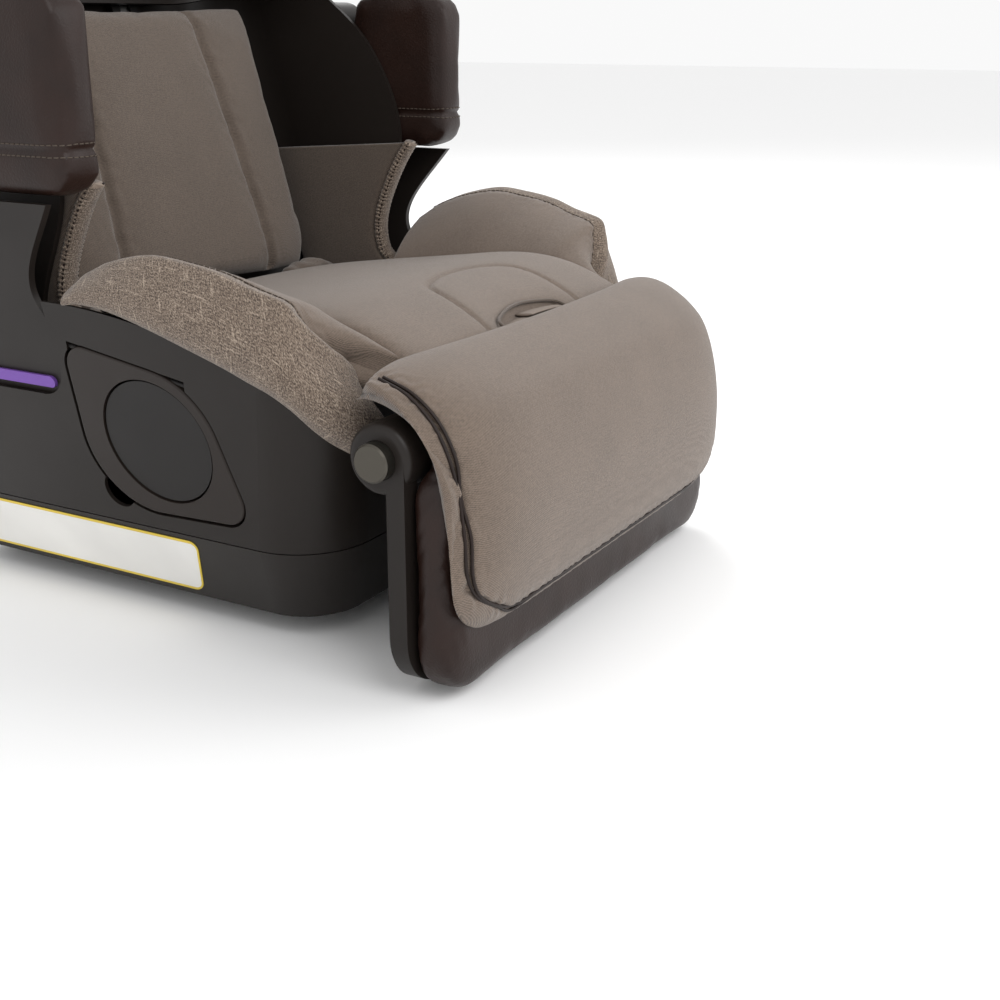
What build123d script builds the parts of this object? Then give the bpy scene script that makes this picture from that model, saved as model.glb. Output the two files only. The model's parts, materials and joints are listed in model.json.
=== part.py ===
from build123d import *
import math
import os

# All-in-one child car seat with a fold-down calf support, in millimetres.
# +Z is up, the child faces -Y, and the child's right-hand side is -X.
# The origin is on the floor, on the plane of symmetry, in the middle of the centre foot.

os.makedirs("parts", exist_ok=True)

# ---------------------------------------------------------------- driving dimensions
# Outer form of the base: a band that flares up to the joint line, then a steeper shell.
floor_gap = 17.0
joint_line_z = 72.0
form_top_z = 240.0
foot_half_width = 162.0
joint_half_width = 187.0
side_draft = 13.0
foot_front_y = -148.0
joint_front_y = -168.0
front_draft = 13.0
foot_rear_y = 205.0
joint_rear_y = 222.0
rear_draft = 5.0
foot_corner = 40.0
joint_corner = 50.0
wall = 3.0
joint_gap = 0.8
lip_height = 8.0
slip = 0.3

# Rim of the upper shell, seen from the side.
rim_front_z = 150.0
rim_fall = 20.0
cut_reach = 60.0
rim_mid_z = 197.0
rim_rear_z = 229.0
rim_rear_y = 20.0
rim_mid_y = -140.0

# Belt notch in each side of the shell.
notch_length = 108.0
notch_floor_z = 162.0
notch_corner = 22.0
belt_guide_lift = 5.0
belt_guide_height = 8.0
belt_guide_margin = 11.0
rear_rim_z = 214.0
deck_thickness = 3.0

# Sole under the base, with its rubber pads.
sole_half_width = 98.0
sole_front_y = -76.0
sole_rear_y = 196.0
sole_lift = 1.5
pad_size = 26.0
pad_sink = 4.0

# Seat pan and cushion.
pan_z = 150.0
pan_thickness = 6.0
ledge_width = 9.0
cushion_half_width = 147.0
cushion_corner = 26.0
cushion_lift = 2.0
cushion_front_gap = 4.0
cushion_front_z = 212.0
cushion_crown_y = -140.0
cushion_crown_z = 219.0
cushion_middle_z = 210.0
cushion_rear_z = 188.0
insert_half_width = 64.0
insert_length = 34.0
insert_front_y = -180.0
insert_height = 4.0
strap_slot_width = 46.0
strap_slot_depth = 9.0
strap_slot_y = -166.0
strap_stand = 3.0
roll_top_z = 203.0
soft_gap = 1.0
soft_round = 9.0

# Backrest: its front face leans back from the crease at the rear of the seat cushion.
crease_y = 80.0
crease_z = 200.0
back_lean = 17.0
back_height = 372.0
back_half_width = 197.0
back_wall = 4.0
back_corner = 52.0
back_depth = 74.0
back_pad_half_width = 160.0
back_pad_height = 226.0
back_pad_thickness = 30.0
back_insert_half_width = 134.0
back_insert_height = 214.0
back_insert_thickness = 14.0
side_pad_thickness = 14.0
rear_cover_thickness = 3.0
rear_cover_margin = 34.0

# Side frames: the plastic posts whose curved front edge faces the belt gap.
post_thickness = 5.0
post_inset = 4.0
post_top_z = 292.0
post_reach = 120.0

# Torso wings.
wing_bottom_z = 294.0
wing_height = 128.0
wing_front_y = -24.0
wing_pad_length = 98.0
wing_thickness = 34.0
wing_plate = 8.0
wing_tail = 70.0
wing_tail_corner = 20.0
tail_lift = 6.0
tail_trim = 14.0
tongue_length = 76.0
tongue_reach = 30.0
tongue_margin = 18.0
tongue_corner = 12.0

# Headrest, which slides up along the back.
head_bottom = 236.0
head_height = 196.0
head_half_width = 152.0
head_wall = 4.0
head_wing_reach = 96.0
head_pad_thickness = 24.0
rail_half_spacing = 70.0
rail_width = 22.0
rail_thickness = 4.0
rail_drop = 170.0
guide_wall = 2.5
guide_length = 26.0

# Calf support and its pivot.
pivot_y = -226.0
pivot_z = 155.5
shaft_radius = 6.0
running_clearance = 0.05
elbow_radius = 22.0
elbow_length = 30.0
elbow_round = 5.0
knuckle_radius = 13.0
bracket_width = 26.0
bracket_half_spacing = 105.0
arm_width = 14.0
arm_depth = 14.0
arm_rear_offset = 4.0
calf_bottom_z = 3.0
calf_pad_depth = 28.0
calf_corner = 36.0
bar_lift = 4.0
flap_thickness = 16.0
flap_bottom_z = 46.0
flap_half_width = 176.0
roll_height = 25.0
button_radius = 12.0
button_stand = 8.5
button_travel = 4.0
socket_depth = 17.0
spring_wire = 0.9

# Cup holder in each side: a ring that swings out at the top and a shelf that drops out below.
cup_y = -51.0
cup_z = 140.0
cup_radius = 45.0
cup_gap = 1.5
ring_thickness = 6.0
ring_land = 8.0
ring_pin_depth = 3.0
ring_pin_land = 3.4
cup_pin_radius = 1.5
rear_pin_grip = 7.4
front_pin_grip = 12.0
swing_reach = 4.1
pocket_depth = 18.0
pocket_wall = 4.0
shelf_thickness = 5.0
shelf_sink = 1.0
shelf_pin_depth = 10.0
shelf_pin_drop = 38.0
lug_half_width = 11.5
ear_width = 4.0
ear_radius = 3.7
finger_radius = 13.0
finger_turn = 230.0

# Lower anchor connectors at the rear of the base.
anchor_half_spacing = 140.0
anchor_z = 47.0
anchor_width = 18.0
anchor_height = 26.0
anchor_length = 120.0
anchor_stand = 34.0
anchor_bar_radius = 3.1
jaw_depth = 16.0
anchor_button_travel = 4.0

# Recline foot under the front of the sole.
recline_half_width = 58.0
recline_length = 46.0
recline_thickness = 9.0
recline_pin_radius = 2.5
recline_pin_y = -24.0

screw_radius = 4.0
screw_height = 2.4


# ---------------------------------------------------------------- shared geometry
def tan_deg(angle):
    return math.tan(math.radians(angle))


def between(z, low, high):
    """Straight-line value at height z between the foot of the band and the joint line."""
    return low + (high - low) * (z - floor_gap) / (joint_line_z - floor_gap)


def side_x(z):
    """Half width of the outer form at height z."""
    if z < joint_line_z:
        return between(z, foot_half_width, joint_half_width)
    return joint_half_width + (z - joint_line_z) * tan_deg(side_draft)


def front_y(z):
    """Front face of the outer form at height z."""
    if z < joint_line_z:
        return between(z, foot_front_y, joint_front_y)
    return joint_front_y - (z - joint_line_z) * tan_deg(front_draft)


def rear_y(z):
    """Rear face of the outer form at height z."""
    if z < joint_line_z:
        return between(z, foot_rear_y, joint_rear_y)
    return joint_rear_y + (z - joint_line_z) * tan_deg(rear_draft)


def form_slice(z, inset=0.0):
    """The outer form cut level at height z, drawn in by inset."""
    corner = min(between(z, foot_corner, joint_corner), joint_corner)
    length = rear_y(z) - front_y(z)
    with BuildSketch(Plane.XY.offset(z)) as cut:
        with Locations((0, (rear_y(z) + front_y(z)) / 2)):
            RectangleRounded(2 * (side_x(z) - inset), length - 2 * inset, corner - inset)
    return cut.sketch


def form_block(low, high, inset=0.0, mode=Mode.ADD):
    """Straight-sided block of the outer form between two heights."""
    return loft([form_slice(low, inset), form_slice(high, inset)], ruled=True, mode=mode)


def save(builder, label):
    """Name a finished piece and write its STEP file."""
    builder.part.label = label
    export_step(builder.part, f"parts/{label}.step")


def save_pair(right, stem):
    """Write the right-hand piece and its mirror image."""
    with BuildPart() as left:
        mirror(right.part, about=Plane.YZ)
    save(right, f"{stem}_right")
    save(left, f"{stem}_left")


# Frame of the back: x across, y up along the back, z towards the child.
lean_sin = math.sin(math.radians(back_lean))
lean_cos = math.cos(math.radians(back_lean))
crease = (0, crease_y, crease_z)
back_plane = Plane(origin=crease, x_dir=(1, 0, 0), z_dir=(0, -lean_cos, lean_sin))
# Cross-section of the back: x across, y towards the rear, z up along the back.
across_plane = Plane(origin=crease, x_dir=(1, 0, 0), z_dir=(0, lean_sin, lean_cos))

# Frame of the right-hand side face at the cup holder: x to the front, y up, z outwards.
draft_sin = math.sin(math.radians(side_draft))
draft_cos = math.cos(math.radians(side_draft))
cup_plane = Plane(origin=(-side_x(cup_z), cup_y, cup_z), x_dir=(0, -1, 0),
                  z_dir=(-draft_cos, 0, -draft_sin))

# Corner circles of the cup holder's rounded triangle: x, y and radius in the cup frame.
top_corner = (-47.0, 45.0, 17.0)
front_corner = (44.0, -36.0, 18.0)
rear_bulge = (-14.0, -4.0, cup_radius + 7.0)
middle_bulge = (0.0, 0.0, cup_radius + ring_land)


def cup_outline(grow=0.0):
    """Rounded triangle of the cup ring, grown by a margin."""
    with BuildSketch(cup_plane) as outline:
        for x, y, radius in (top_corner, front_corner, rear_bulge, middle_bulge):
            with Locations((x, y)):
                Circle(radius + grow)
        make_hull()
    return outline.sketch


# The ring's straight upper edge touches the top corner and the middle bulge, and its pin
# runs parallel to it. The shelf's pin is parallel to the ring's.
corner_gap = math.hypot(top_corner[0], top_corner[1])
edge_turn = math.degrees(math.asin((middle_bulge[2] - top_corner[2]) / corner_gap))
hinge_tilt = edge_turn - math.degrees(math.atan2(top_corner[1], -top_corner[0]))
tilt_cos = math.cos(math.radians(hinge_tilt))
tilt_sin = math.sin(math.radians(hinge_tilt))
hinge_along = cup_plane.x_dir * tilt_cos + cup_plane.y_dir * tilt_sin
hinge_plane = Plane(origin=cup_plane.origin, x_dir=hinge_along, z_dir=cup_plane.z_dir)
ring_pin_y = middle_bulge[2] - ring_pin_land


def hinge_rod(height, depth, start, end, radius, mode=Mode.ADD):
    """Rod along the hinge direction, at a height over the cup centre and a depth below the face."""
    middle = hinge_plane.from_local_coords(Vector((start + end) / 2, height, -depth))
    axis_plane = Plane(origin=middle, x_dir=hinge_plane.y_dir, z_dir=hinge_plane.x_dir)
    with BuildSketch(axis_plane) as section:
        Circle(radius)
    return extrude(section.sketch, amount=(end - start) / 2, both=True, mode=mode)


def tangent_u(circle):
    """Place of a corner circle's centre along the hinge direction."""
    return circle[0] * tilt_cos + circle[1] * tilt_sin


def half_chord(radius, offset):
    return math.sqrt(radius ** 2 - offset ** 2)


top_corner_v = middle_bulge[2] - top_corner[2]
ring_pin_start = tangent_u(top_corner) - half_chord(top_corner[2], ring_pin_y - top_corner_v)
ring_pin_end = half_chord(middle_bulge[2], ring_pin_y)

# The ring's shoulders swing inwards past the pin, so the shell is relieved as far as they reach.
shoulder_y = ring_pin_y - swing_reach
relief_start = tangent_u(top_corner) - half_chord(top_corner[2], shoulder_y - top_corner_v) - slip
relief_end = half_chord(middle_bulge[2], shoulder_y) + slip
relief_radius = math.hypot(swing_reach, ring_pin_depth) + slip


def rim_sketch(raise_by=0.0):
    """Everything above the shell's rim and inside its belt notches, seen from the side."""
    notch_rear_y = rim_rear_y + notch_length
    far_front = front_y(form_top_z) - cut_reach
    far_rear = rear_y(form_top_z) + cut_reach
    with BuildSketch(Plane.YZ) as above:
        with BuildLine():
            Spline((far_front, rim_front_z - rim_fall + raise_by), (rim_mid_y, rim_mid_z + raise_by),
                   (rim_rear_y, rim_rear_z + raise_by), tangents=[(1, 0.55), (1, 0)])
            Polyline((rim_rear_y, rim_rear_z + raise_by), (rim_rear_y, form_top_z + cut_reach),
                     (far_front, form_top_z + cut_reach), (far_front, rim_front_z - rim_fall + raise_by))
        make_face()
        with BuildLine():
            Polyline((rim_rear_y, form_top_z + cut_reach), (rim_rear_y, rim_rear_z + raise_by),
                     (notch_rear_y, rear_rim_z + raise_by), (far_rear, rear_rim_z + raise_by),
                     (far_rear, form_top_z + cut_reach), close=True)
        make_face()
    return above.sketch


def notch_sketch(shrink=0.0):
    """Belt notch in the shell's side, seen from the side."""
    height = 2 * (rear_rim_z - notch_floor_z)
    with BuildSketch(Plane.YZ) as notch:
        with Locations((rim_rear_y + notch_length / 2, notch_floor_z + height / 2)):
            RectangleRounded(notch_length - 2 * shrink, height - 2 * shrink, notch_corner - shrink)
    return notch.sketch


# ---------------------------------------------------------------- base
with BuildPart() as base_tub:
    form_block(floor_gap, joint_line_z)
    form_block(floor_gap + wall, joint_line_z, wall, Mode.SUBTRACT)
    # Locating lip that stands up inside the upper shell, on a shelf under the joint line.
    extrude(form_slice(joint_line_z - 2 * wall, wall / 2), amount=wall)
    extrude(form_slice(joint_line_z - 2 * wall, 2 * wall + slip), amount=wall, mode=Mode.SUBTRACT)
    extrude(form_slice(joint_line_z - wall, wall + slip), amount=wall + lip_height)
    extrude(form_slice(joint_line_z - wall, 2 * wall + slip), amount=wall + lip_height,
            mode=Mode.SUBTRACT)
    anchor_hole = Plane(origin=(0, joint_rear_y, anchor_z), x_dir=(1, 0, 0), z_dir=(0, 1, 0))
    with BuildSketch(anchor_hole):
        with Locations((-anchor_half_spacing, 0), (anchor_half_spacing, 0)):
            Rectangle(anchor_width + 2 * slip, anchor_height + 2 * slip)
    extrude(amount=10 * wall, both=True, mode=Mode.SUBTRACT)
save(base_tub, "base_tub")

foot_spots = [(side * (sole_half_width - pad_size), y)
              for side in (-1, 1) for y in (sole_front_y + pad_size, sole_rear_y - pad_size)]
recline_front_y = recline_pin_y + recline_thickness / 2 - recline_length
recline_z = sole_lift + 1 + recline_thickness / 2

with BuildPart() as base_sole:
    with BuildSketch(Plane.XY.offset(sole_lift)):
        with Locations((0, (sole_front_y + sole_rear_y) / 2)):
            RectangleRounded(2 * sole_half_width, sole_rear_y - sole_front_y, 18)
    extrude(amount=floor_gap - sole_lift)
    with BuildSketch(Plane.XY.offset(sole_lift)):
        with Locations(*foot_spots, (0, 0)):
            RectangleRounded(pad_size, pad_size, 5)
    extrude(amount=pad_sink, mode=Mode.SUBTRACT)
    with BuildSketch(Plane.XY.offset(sole_lift)):
        with Locations((0, recline_pin_y + recline_thickness / 2 + 2 * slip - recline_length / 2 - 1)):
            Rectangle(2 * recline_half_width + 4 * slip, recline_length + 4)
    extrude(amount=recline_thickness + 3, mode=Mode.SUBTRACT)
    with BuildSketch(Plane.YZ):
        with Locations((recline_pin_y, recline_z)):
            Circle(recline_pin_radius)
    extrude(amount=recline_half_width + 8, both=True, mode=Mode.SUBTRACT)
save(base_sole, "base_sole")

with BuildPart() as rubber_feet:
    with BuildSketch():
        with Locations(*foot_spots, (0, 0)):
            RectangleRounded(pad_size - slip, pad_size - slip, 5)
    extrude(amount=sole_lift + pad_sink)
save(rubber_feet, "rubber_feet")

with BuildPart() as recline_foot:
    with BuildSketch(Plane.YZ):
        with BuildLine():
            Polyline((recline_front_y, recline_z + recline_thickness / 2),
                     (recline_front_y, recline_z - recline_thickness / 2),
                     (recline_pin_y, recline_z - recline_thickness / 2))
            RadiusArc((recline_pin_y, recline_z - recline_thickness / 2),
                      (recline_pin_y, recline_z + recline_thickness / 2), -recline_thickness / 2)
            Line((recline_pin_y, recline_z + recline_thickness / 2),
                 (recline_front_y, recline_z + recline_thickness / 2))
        make_face()
        with Locations((recline_pin_y, recline_z)):
            Circle(recline_pin_radius + running_clearance, mode=Mode.SUBTRACT)
    extrude(amount=recline_half_width, both=True)
save(recline_foot, "recline_foot")

with BuildPart() as recline_pin:
    with BuildSketch(Plane.YZ):
        with Locations((recline_pin_y, recline_z)):
            Circle(recline_pin_radius)
    extrude(amount=recline_half_width + 8, both=True)
save(recline_pin, "recline_pin")

# ---------------------------------------------------------------- upper shell
pan_top_z = pan_z + pan_thickness

# Solid walls of the two cup pockets, before the pockets are cut.
with BuildPart() as pocket_walls:
    extrude(cup_outline(cup_gap + pocket_wall), amount=-(pocket_depth + wall))
    mirror(about=Plane.YZ)

# Ring inside the shell that carries the seat pan.
with BuildPart() as pan_ledge:
    form_block(pan_z - wall, pan_z)
    form_block(pan_z - wall, pan_z, wall + ledge_width, Mode.SUBTRACT)

with BuildPart() as shell_void:
    form_block(joint_line_z, form_top_z, wall)
    add(pocket_walls.part, mode=Mode.SUBTRACT)
    add(pan_ledge.part, mode=Mode.SUBTRACT)

# The shelf's pin stands on two ears that rise from the pocket floor.
shelf_pin_centre = hinge_plane.from_local_coords(Vector(0, -shelf_pin_drop, -shelf_pin_depth))
ear_plane = Plane(origin=shelf_pin_centre, x_dir=hinge_plane.y_dir, z_dir=hinge_plane.x_dir)
ear_centre = lug_half_width + slip + ear_width / 2
ear_foot = pocket_depth - shelf_pin_depth

with BuildPart() as pocket_cut:
    extrude(cup_outline(cup_gap), amount=-pocket_depth)
    extrude(cup_outline(cup_gap), amount=wall)
    for ear_side in (-1, 1):
        with BuildSketch(ear_plane.offset(ear_side * ear_centre)):
            Circle(ear_radius)
            with Locations((0, -ear_foot / 2)):
                Rectangle(2 * ear_radius, ear_foot)
        extrude(amount=ear_width / 2, both=True, mode=Mode.SUBTRACT)
    hinge_rod(-shelf_pin_drop, shelf_pin_depth, -ear_centre - ear_width / 2,
              ear_centre + ear_width / 2, cup_pin_radius)
    hinge_rod(ring_pin_y, ring_pin_depth, relief_start, relief_end, relief_radius)
    hinge_rod(ring_pin_y, ring_pin_depth, ring_pin_start - rear_pin_grip,
              ring_pin_end + front_pin_grip, cup_pin_radius)
    mirror(about=Plane.YZ)

# Scoops for a fingertip under the lower rear corner of each ring.
with BuildPart() as finger_scoops:
    with BuildSketch(cup_plane):
        with Locations((rear_bulge[0] + rear_bulge[2] * math.cos(math.radians(finger_turn)),
                        rear_bulge[1] + rear_bulge[2] * math.sin(math.radians(finger_turn)))):
            Circle(finger_radius)
    extrude(amount=-pocket_depth + wall)
    mirror(about=Plane.YZ)

with BuildPart() as seat_shell:
    form_block(joint_line_z + joint_gap, form_top_z)
    add(shell_void.part, mode=Mode.SUBTRACT)
    extrude(rim_sketch(), amount=side_x(form_top_z) + wall, both=True, mode=Mode.SUBTRACT)
    extrude(notch_sketch(), amount=side_x(form_top_z) + wall, both=True, mode=Mode.SUBTRACT)
    add(pocket_cut.part, mode=Mode.SUBTRACT)
    add(finger_scoops.part, mode=Mode.SUBTRACT)
save(seat_shell, "seat_shell")

with BuildPart() as pocket_clearance:
    extrude(cup_outline(cup_gap + pocket_wall + slip), amount=-(pocket_depth + wall + slip))
    extrude(cup_outline(cup_gap + pocket_wall + slip), amount=wall)
    mirror(about=Plane.YZ)

with BuildPart() as seat_pan:
    extrude(form_slice(pan_z, wall + slip), amount=pan_thickness)
    add(pocket_clearance.part, mode=Mode.SUBTRACT)
    with Locations((0, strap_slot_y, pan_z)):
        Box(strap_slot_width, strap_slot_depth, 4 * pan_thickness, mode=Mode.SUBTRACT)
save(seat_pan, "seat_pan")

# ---------------------------------------------------------------- cup holders
with BuildPart() as cup_ring:
    extrude(cup_outline(), amount=-ring_thickness)
    outer_edges = cup_ring.faces().sort_by(Axis(cup_plane.origin, cup_plane.z_dir))[-1].edges()
    fillet(outer_edges, radius=wall / 2)
    with BuildSketch(cup_plane):
        Circle(cup_radius)
    extrude(amount=-ring_thickness, mode=Mode.SUBTRACT)
    hinge_rod(ring_pin_y, ring_pin_depth, ring_pin_start - rear_pin_grip,
              ring_pin_end + front_pin_grip, cup_pin_radius + running_clearance, Mode.SUBTRACT)
save_pair(cup_ring, "cup_ring")

with BuildPart() as cup_shelf:
    with BuildSketch(cup_plane.offset(-shelf_sink)):
        Circle(cup_radius - cup_gap)
    extrude(amount=-shelf_thickness)
    lug_top = shelf_pin_depth - shelf_sink - shelf_thickness
    with BuildSketch(ear_plane) as lug_face:
        Circle(ear_radius)
        with Locations((0, lug_top / 2)):
            Rectangle(2 * ear_radius, lug_top)
    extrude(amount=lug_half_width, both=True)
    hinge_rod(-shelf_pin_drop, shelf_pin_depth, -lug_half_width, lug_half_width,
              cup_pin_radius + running_clearance, Mode.SUBTRACT)
save_pair(cup_shelf, "cup_shelf")

with BuildPart() as cup_pins:
    hinge_rod(ring_pin_y, ring_pin_depth, ring_pin_start - rear_pin_grip,
              ring_pin_end + front_pin_grip, cup_pin_radius)
    hinge_rod(-shelf_pin_drop, shelf_pin_depth, -ear_centre - ear_width / 2,
              ear_centre + ear_width / 2, cup_pin_radius)
save_pair(cup_pins, "cup_hinge_pins")

# ---------------------------------------------------------------- side frames and belt guides
def side_layer(inner, outer, low, high):
    """Slab that follows the shell's side faces, between two depths below the surface."""
    with BuildPart() as layer:
        form_block(low, high, inner)
        form_block(low, high, outer, Mode.SUBTRACT)
    return layer.part


post_plane = Plane.YZ.offset(-side_x(post_top_z) - wall)
post_front_y = rim_rear_y + 1
with BuildSketch(post_plane) as post_profile:
    with BuildLine():
        Spline((post_front_y, pan_top_z + 52), (post_front_y + 8, pan_top_z + 70),
               (post_front_y - 26, post_top_z), tangents=[(0.3, 1), (-0.75, 1)])
        Polyline((post_front_y - 26, post_top_z), (post_front_y + post_reach, post_top_z),
                 (post_front_y + post_reach, pan_top_z), (post_front_y, pan_top_z),
                 (post_front_y, pan_top_z + 52))
    make_face()
with BuildPart() as side_frame:
    extrude(post_profile.sketch, amount=side_x(post_top_z))
    add(side_layer(post_inset, post_inset + post_thickness, pan_top_z, post_top_z),
        mode=Mode.INTERSECT)
save_pair(side_frame, "side_frame")

guide_low = notch_floor_z + belt_guide_lift
guide_high = guide_low + belt_guide_height
with BuildPart() as belt_guide:
    with BuildSketch(post_plane):
        with Locations((rim_rear_y + notch_length / 2, (guide_low + guide_high) / 2)):
            SlotOverall(notch_length - 2 * belt_guide_margin, belt_guide_height)
    extrude(amount=side_x(post_top_z))
    add(side_layer(post_inset - 2.5, post_inset, pan_top_z, post_top_z), mode=Mode.INTERSECT)
save_pair(belt_guide, "belt_guide")

# ---------------------------------------------------------------- backrest
def back_outline(inset):
    """Cross-section of the back: a deep channel with rounded rear corners."""
    depth = 2 * back_depth + 260
    with BuildSketch(across_plane) as outline:
        with Locations((0, back_depth - depth / 2)):
            RectangleRounded(2 * (back_half_width - inset), depth - 2 * inset, back_corner - inset)
    return outline.sketch


back_top_y = crease_y + (back_height * lean_sin)
back_top_z = crease_z + back_height * lean_cos
with BuildSketch(Plane.YZ) as back_side:
    with BuildLine():
        Spline((post_front_y + 22, pan_top_z), (post_front_y + 26, pan_top_z + 64),
               (post_front_y, wing_bottom_z), (post_front_y + 20, wing_bottom_z + 70),
               (back_top_y + 10, back_top_z - 22), tangents=[(0, 1), (0.7, 1)])
        Polyline((back_top_y + 10, back_top_z - 22), (back_top_y + 30, back_top_z + 6),
                 (back_top_y + 200, back_top_z + 6), (back_top_y + 200, pan_top_z),
                 (post_front_y + 22, pan_top_z))
    make_face()
with BuildPart() as backrest_shell:
    extrude(back_outline(0), amount=back_height)
    extrude(back_outline(0), amount=-(crease_z - pan_top_z) * 1.8)
    extrude(back_outline(back_wall), amount=back_height, mode=Mode.SUBTRACT)
    extrude(back_outline(back_wall), amount=-(crease_z - pan_top_z) * 1.8, mode=Mode.SUBTRACT)
    extrude(back_side.sketch, amount=back_half_width + wall, both=True, mode=Mode.INTERSECT)
save(backrest_shell, "backrest_shell")

# Lid over the hollow between the backrest and the rear wall of the shell.
with BuildPart() as rear_deck:
    extrude(form_slice(rear_rim_z - 2 * deck_thickness, wall + slip), amount=deck_thickness)
    extrude(back_outline(-slip), amount=back_height, mode=Mode.SUBTRACT)
    extrude(back_outline(-slip), amount=-back_height, mode=Mode.SUBTRACT)
    deck_front_y = post_front_y + post_reach + 1
    with Locations((0, deck_front_y - form_top_z, rear_rim_z)):
        Box(4 * form_top_z, 2 * form_top_z, form_top_z, mode=Mode.SUBTRACT)
save(rear_deck, "rear_deck")

# Rear cover, which starts just above the shell's rear rim.
with BuildPart() as rear_cover:
    cover_start = (rear_rim_z + 6 - crease_z + back_depth * lean_sin) / lean_cos
    cover_height = back_height - rear_cover_margin - cover_start
    with BuildSketch(back_plane.offset(-back_depth)):
        with Locations((0, cover_start + cover_height / 2)):
            RectangleRounded(2 * (back_half_width - back_corner), cover_height, 24)
    extrude(amount=-rear_cover_thickness)
    chamfer(rear_cover.faces().sort_by(Axis.Y)[-1].edges(), length=1)
save(rear_cover, "rear_cover")

with BuildPart() as back_cushion:
    back_rear = back_insert_thickness + soft_gap + back_pad_thickness
    with BuildSketch(back_plane.offset(-back_rear)):
        with Locations((0, back_pad_height / 2)):
            RectangleRounded(2 * back_pad_half_width, back_pad_height, 24)
    extrude(amount=back_pad_thickness)
save(back_cushion, "back_cushion")

with BuildPart() as back_insert:
    with BuildSketch(back_plane.offset(-back_insert_thickness)):
        with Locations((0, soft_gap + back_insert_height / 2 + 4)):
            RectangleRounded(2 * back_insert_half_width, back_insert_height, 30)
    extrude(amount=back_insert_thickness)
save(back_insert, "back_insert")

with BuildPart() as side_pad:
    pad_front_y = post_front_y + 24
    pad_outer_x = back_half_width - back_wall - soft_gap
    with BuildSketch(Plane.YZ.offset(-pad_outer_x)):
        with BuildLine():
            Polyline((pad_front_y, pan_top_z + 24), (pad_front_y + 6, pan_top_z + 70),
                     (pad_front_y - 16, wing_bottom_z - 4), (crease_y + 52, wing_bottom_z - 4),
                     (crease_y + 20, pan_top_z + 24), close=True)
        make_face()
    extrude(amount=side_pad_thickness)
    fillet(side_pad.edges().filter_by(Axis.X), radius=soft_round)
save_pair(side_pad, "side_pad")

# ---------------------------------------------------------------- torso wings
wing_outer_x = back_half_width + wing_thickness + 2
wing_rear_y = wing_front_y + wing_pad_length
tail_z = wing_bottom_z + tail_lift
tail_height = wing_height - tail_trim
tongue_height = tail_height - 2 * tongue_margin
with BuildPart() as wing_frame:
    with BuildSketch(Plane.YZ.offset(-wing_outer_x + 1)):
        with Locations((wing_rear_y + soft_gap + wing_tail / 2, tail_z + tail_height / 2)):
            RectangleRounded(wing_tail, tail_height, wing_tail_corner)
    extrude(amount=wing_outer_x - 1 - back_half_width)
    fillet(wing_frame.faces().sort_by(Axis.X)[0].edges(), radius=10)
    with BuildSketch(Plane.YZ.offset(-back_half_width)):
        with Locations((wing_rear_y + soft_gap + wing_tail / 2, tail_z + tail_height / 2)):
            RectangleRounded(wing_tail - 2 * wall, tail_height - 2 * wall, wing_tail_corner - wall)
    extrude(amount=-(wing_thickness - 3 * wall), mode=Mode.SUBTRACT)
    with BuildSketch(Plane.YZ.offset(-back_half_width - wing_plate)):
        with Locations((wing_rear_y - tongue_reach, tail_z + tail_height / 2)):
            RectangleRounded(tongue_length, tongue_height, tongue_corner)
    extrude(amount=-wing_plate)
save_pair(wing_frame, "wing_frame")

with BuildPart() as wing_pad:
    with BuildSketch(Plane.YZ.offset(-wing_outer_x)):
        with Locations((wing_front_y + wing_pad_length / 2, wing_bottom_z + wing_height / 2)):
            RectangleRounded(wing_pad_length, wing_height, 22)
    extrude(amount=wing_outer_x - back_half_width - soft_gap)
    fillet(wing_pad.faces().sort_by(Axis.X)[0].edges(), radius=8)
    with BuildSketch(Plane.YZ.offset(-back_half_width - wing_plate + slip)):
        with Locations((wing_rear_y - tongue_reach, tail_z + tail_height / 2)):
            RectangleRounded(tongue_length + 2 * slip, tongue_height + 2 * slip, tongue_corner)
    extrude(amount=-wing_plate - 2 * slip, mode=Mode.SUBTRACT)
save_pair(wing_pad, "wing_pad")

# ---------------------------------------------------------------- seat cushion and bolsters
cushion_bottom_z = pan_top_z + cushion_lift
cushion_front_y = front_y(pan_top_z) + wall + cushion_front_gap


def cushion_side(raise_by=0.0):
    """Side view of the seat cushion, whose crown lies under the thighs."""
    with BuildSketch(Plane.YZ) as side_view:
        with BuildLine():
            Spline((cushion_front_y, cushion_front_z + raise_by),
                   (cushion_crown_y, cushion_crown_z + raise_by),
                   ((cushion_crown_y + crease_y) / 2, cushion_middle_z + raise_by),
                   (crease_y - soft_gap, cushion_rear_z + raise_by))
            Polyline((crease_y - soft_gap, cushion_rear_z + raise_by),
                     (crease_y - soft_gap, cushion_bottom_z), (cushion_front_y, cushion_bottom_z),
                     (cushion_front_y, cushion_front_z + raise_by))
        make_face()
    return side_view.sketch


with BuildPart() as seat_cushion:
    with BuildSketch(Plane.XY.offset(cushion_bottom_z)):
        with Locations((0, (cushion_front_y + crease_y) / 2 - soft_gap)):
            RectangleRounded(2 * cushion_half_width, crease_y - cushion_front_y, cushion_corner)
    extrude(amount=2 * cushion_crown_z - cushion_bottom_z)
    extrude(cushion_side(), amount=cushion_half_width, both=True, mode=Mode.INTERSECT)
    with Locations((0, strap_slot_y, cushion_crown_z)):
        Box(strap_slot_width, strap_slot_depth, cushion_crown_z, mode=Mode.SUBTRACT)
save(seat_cushion, "seat_cushion")

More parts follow.
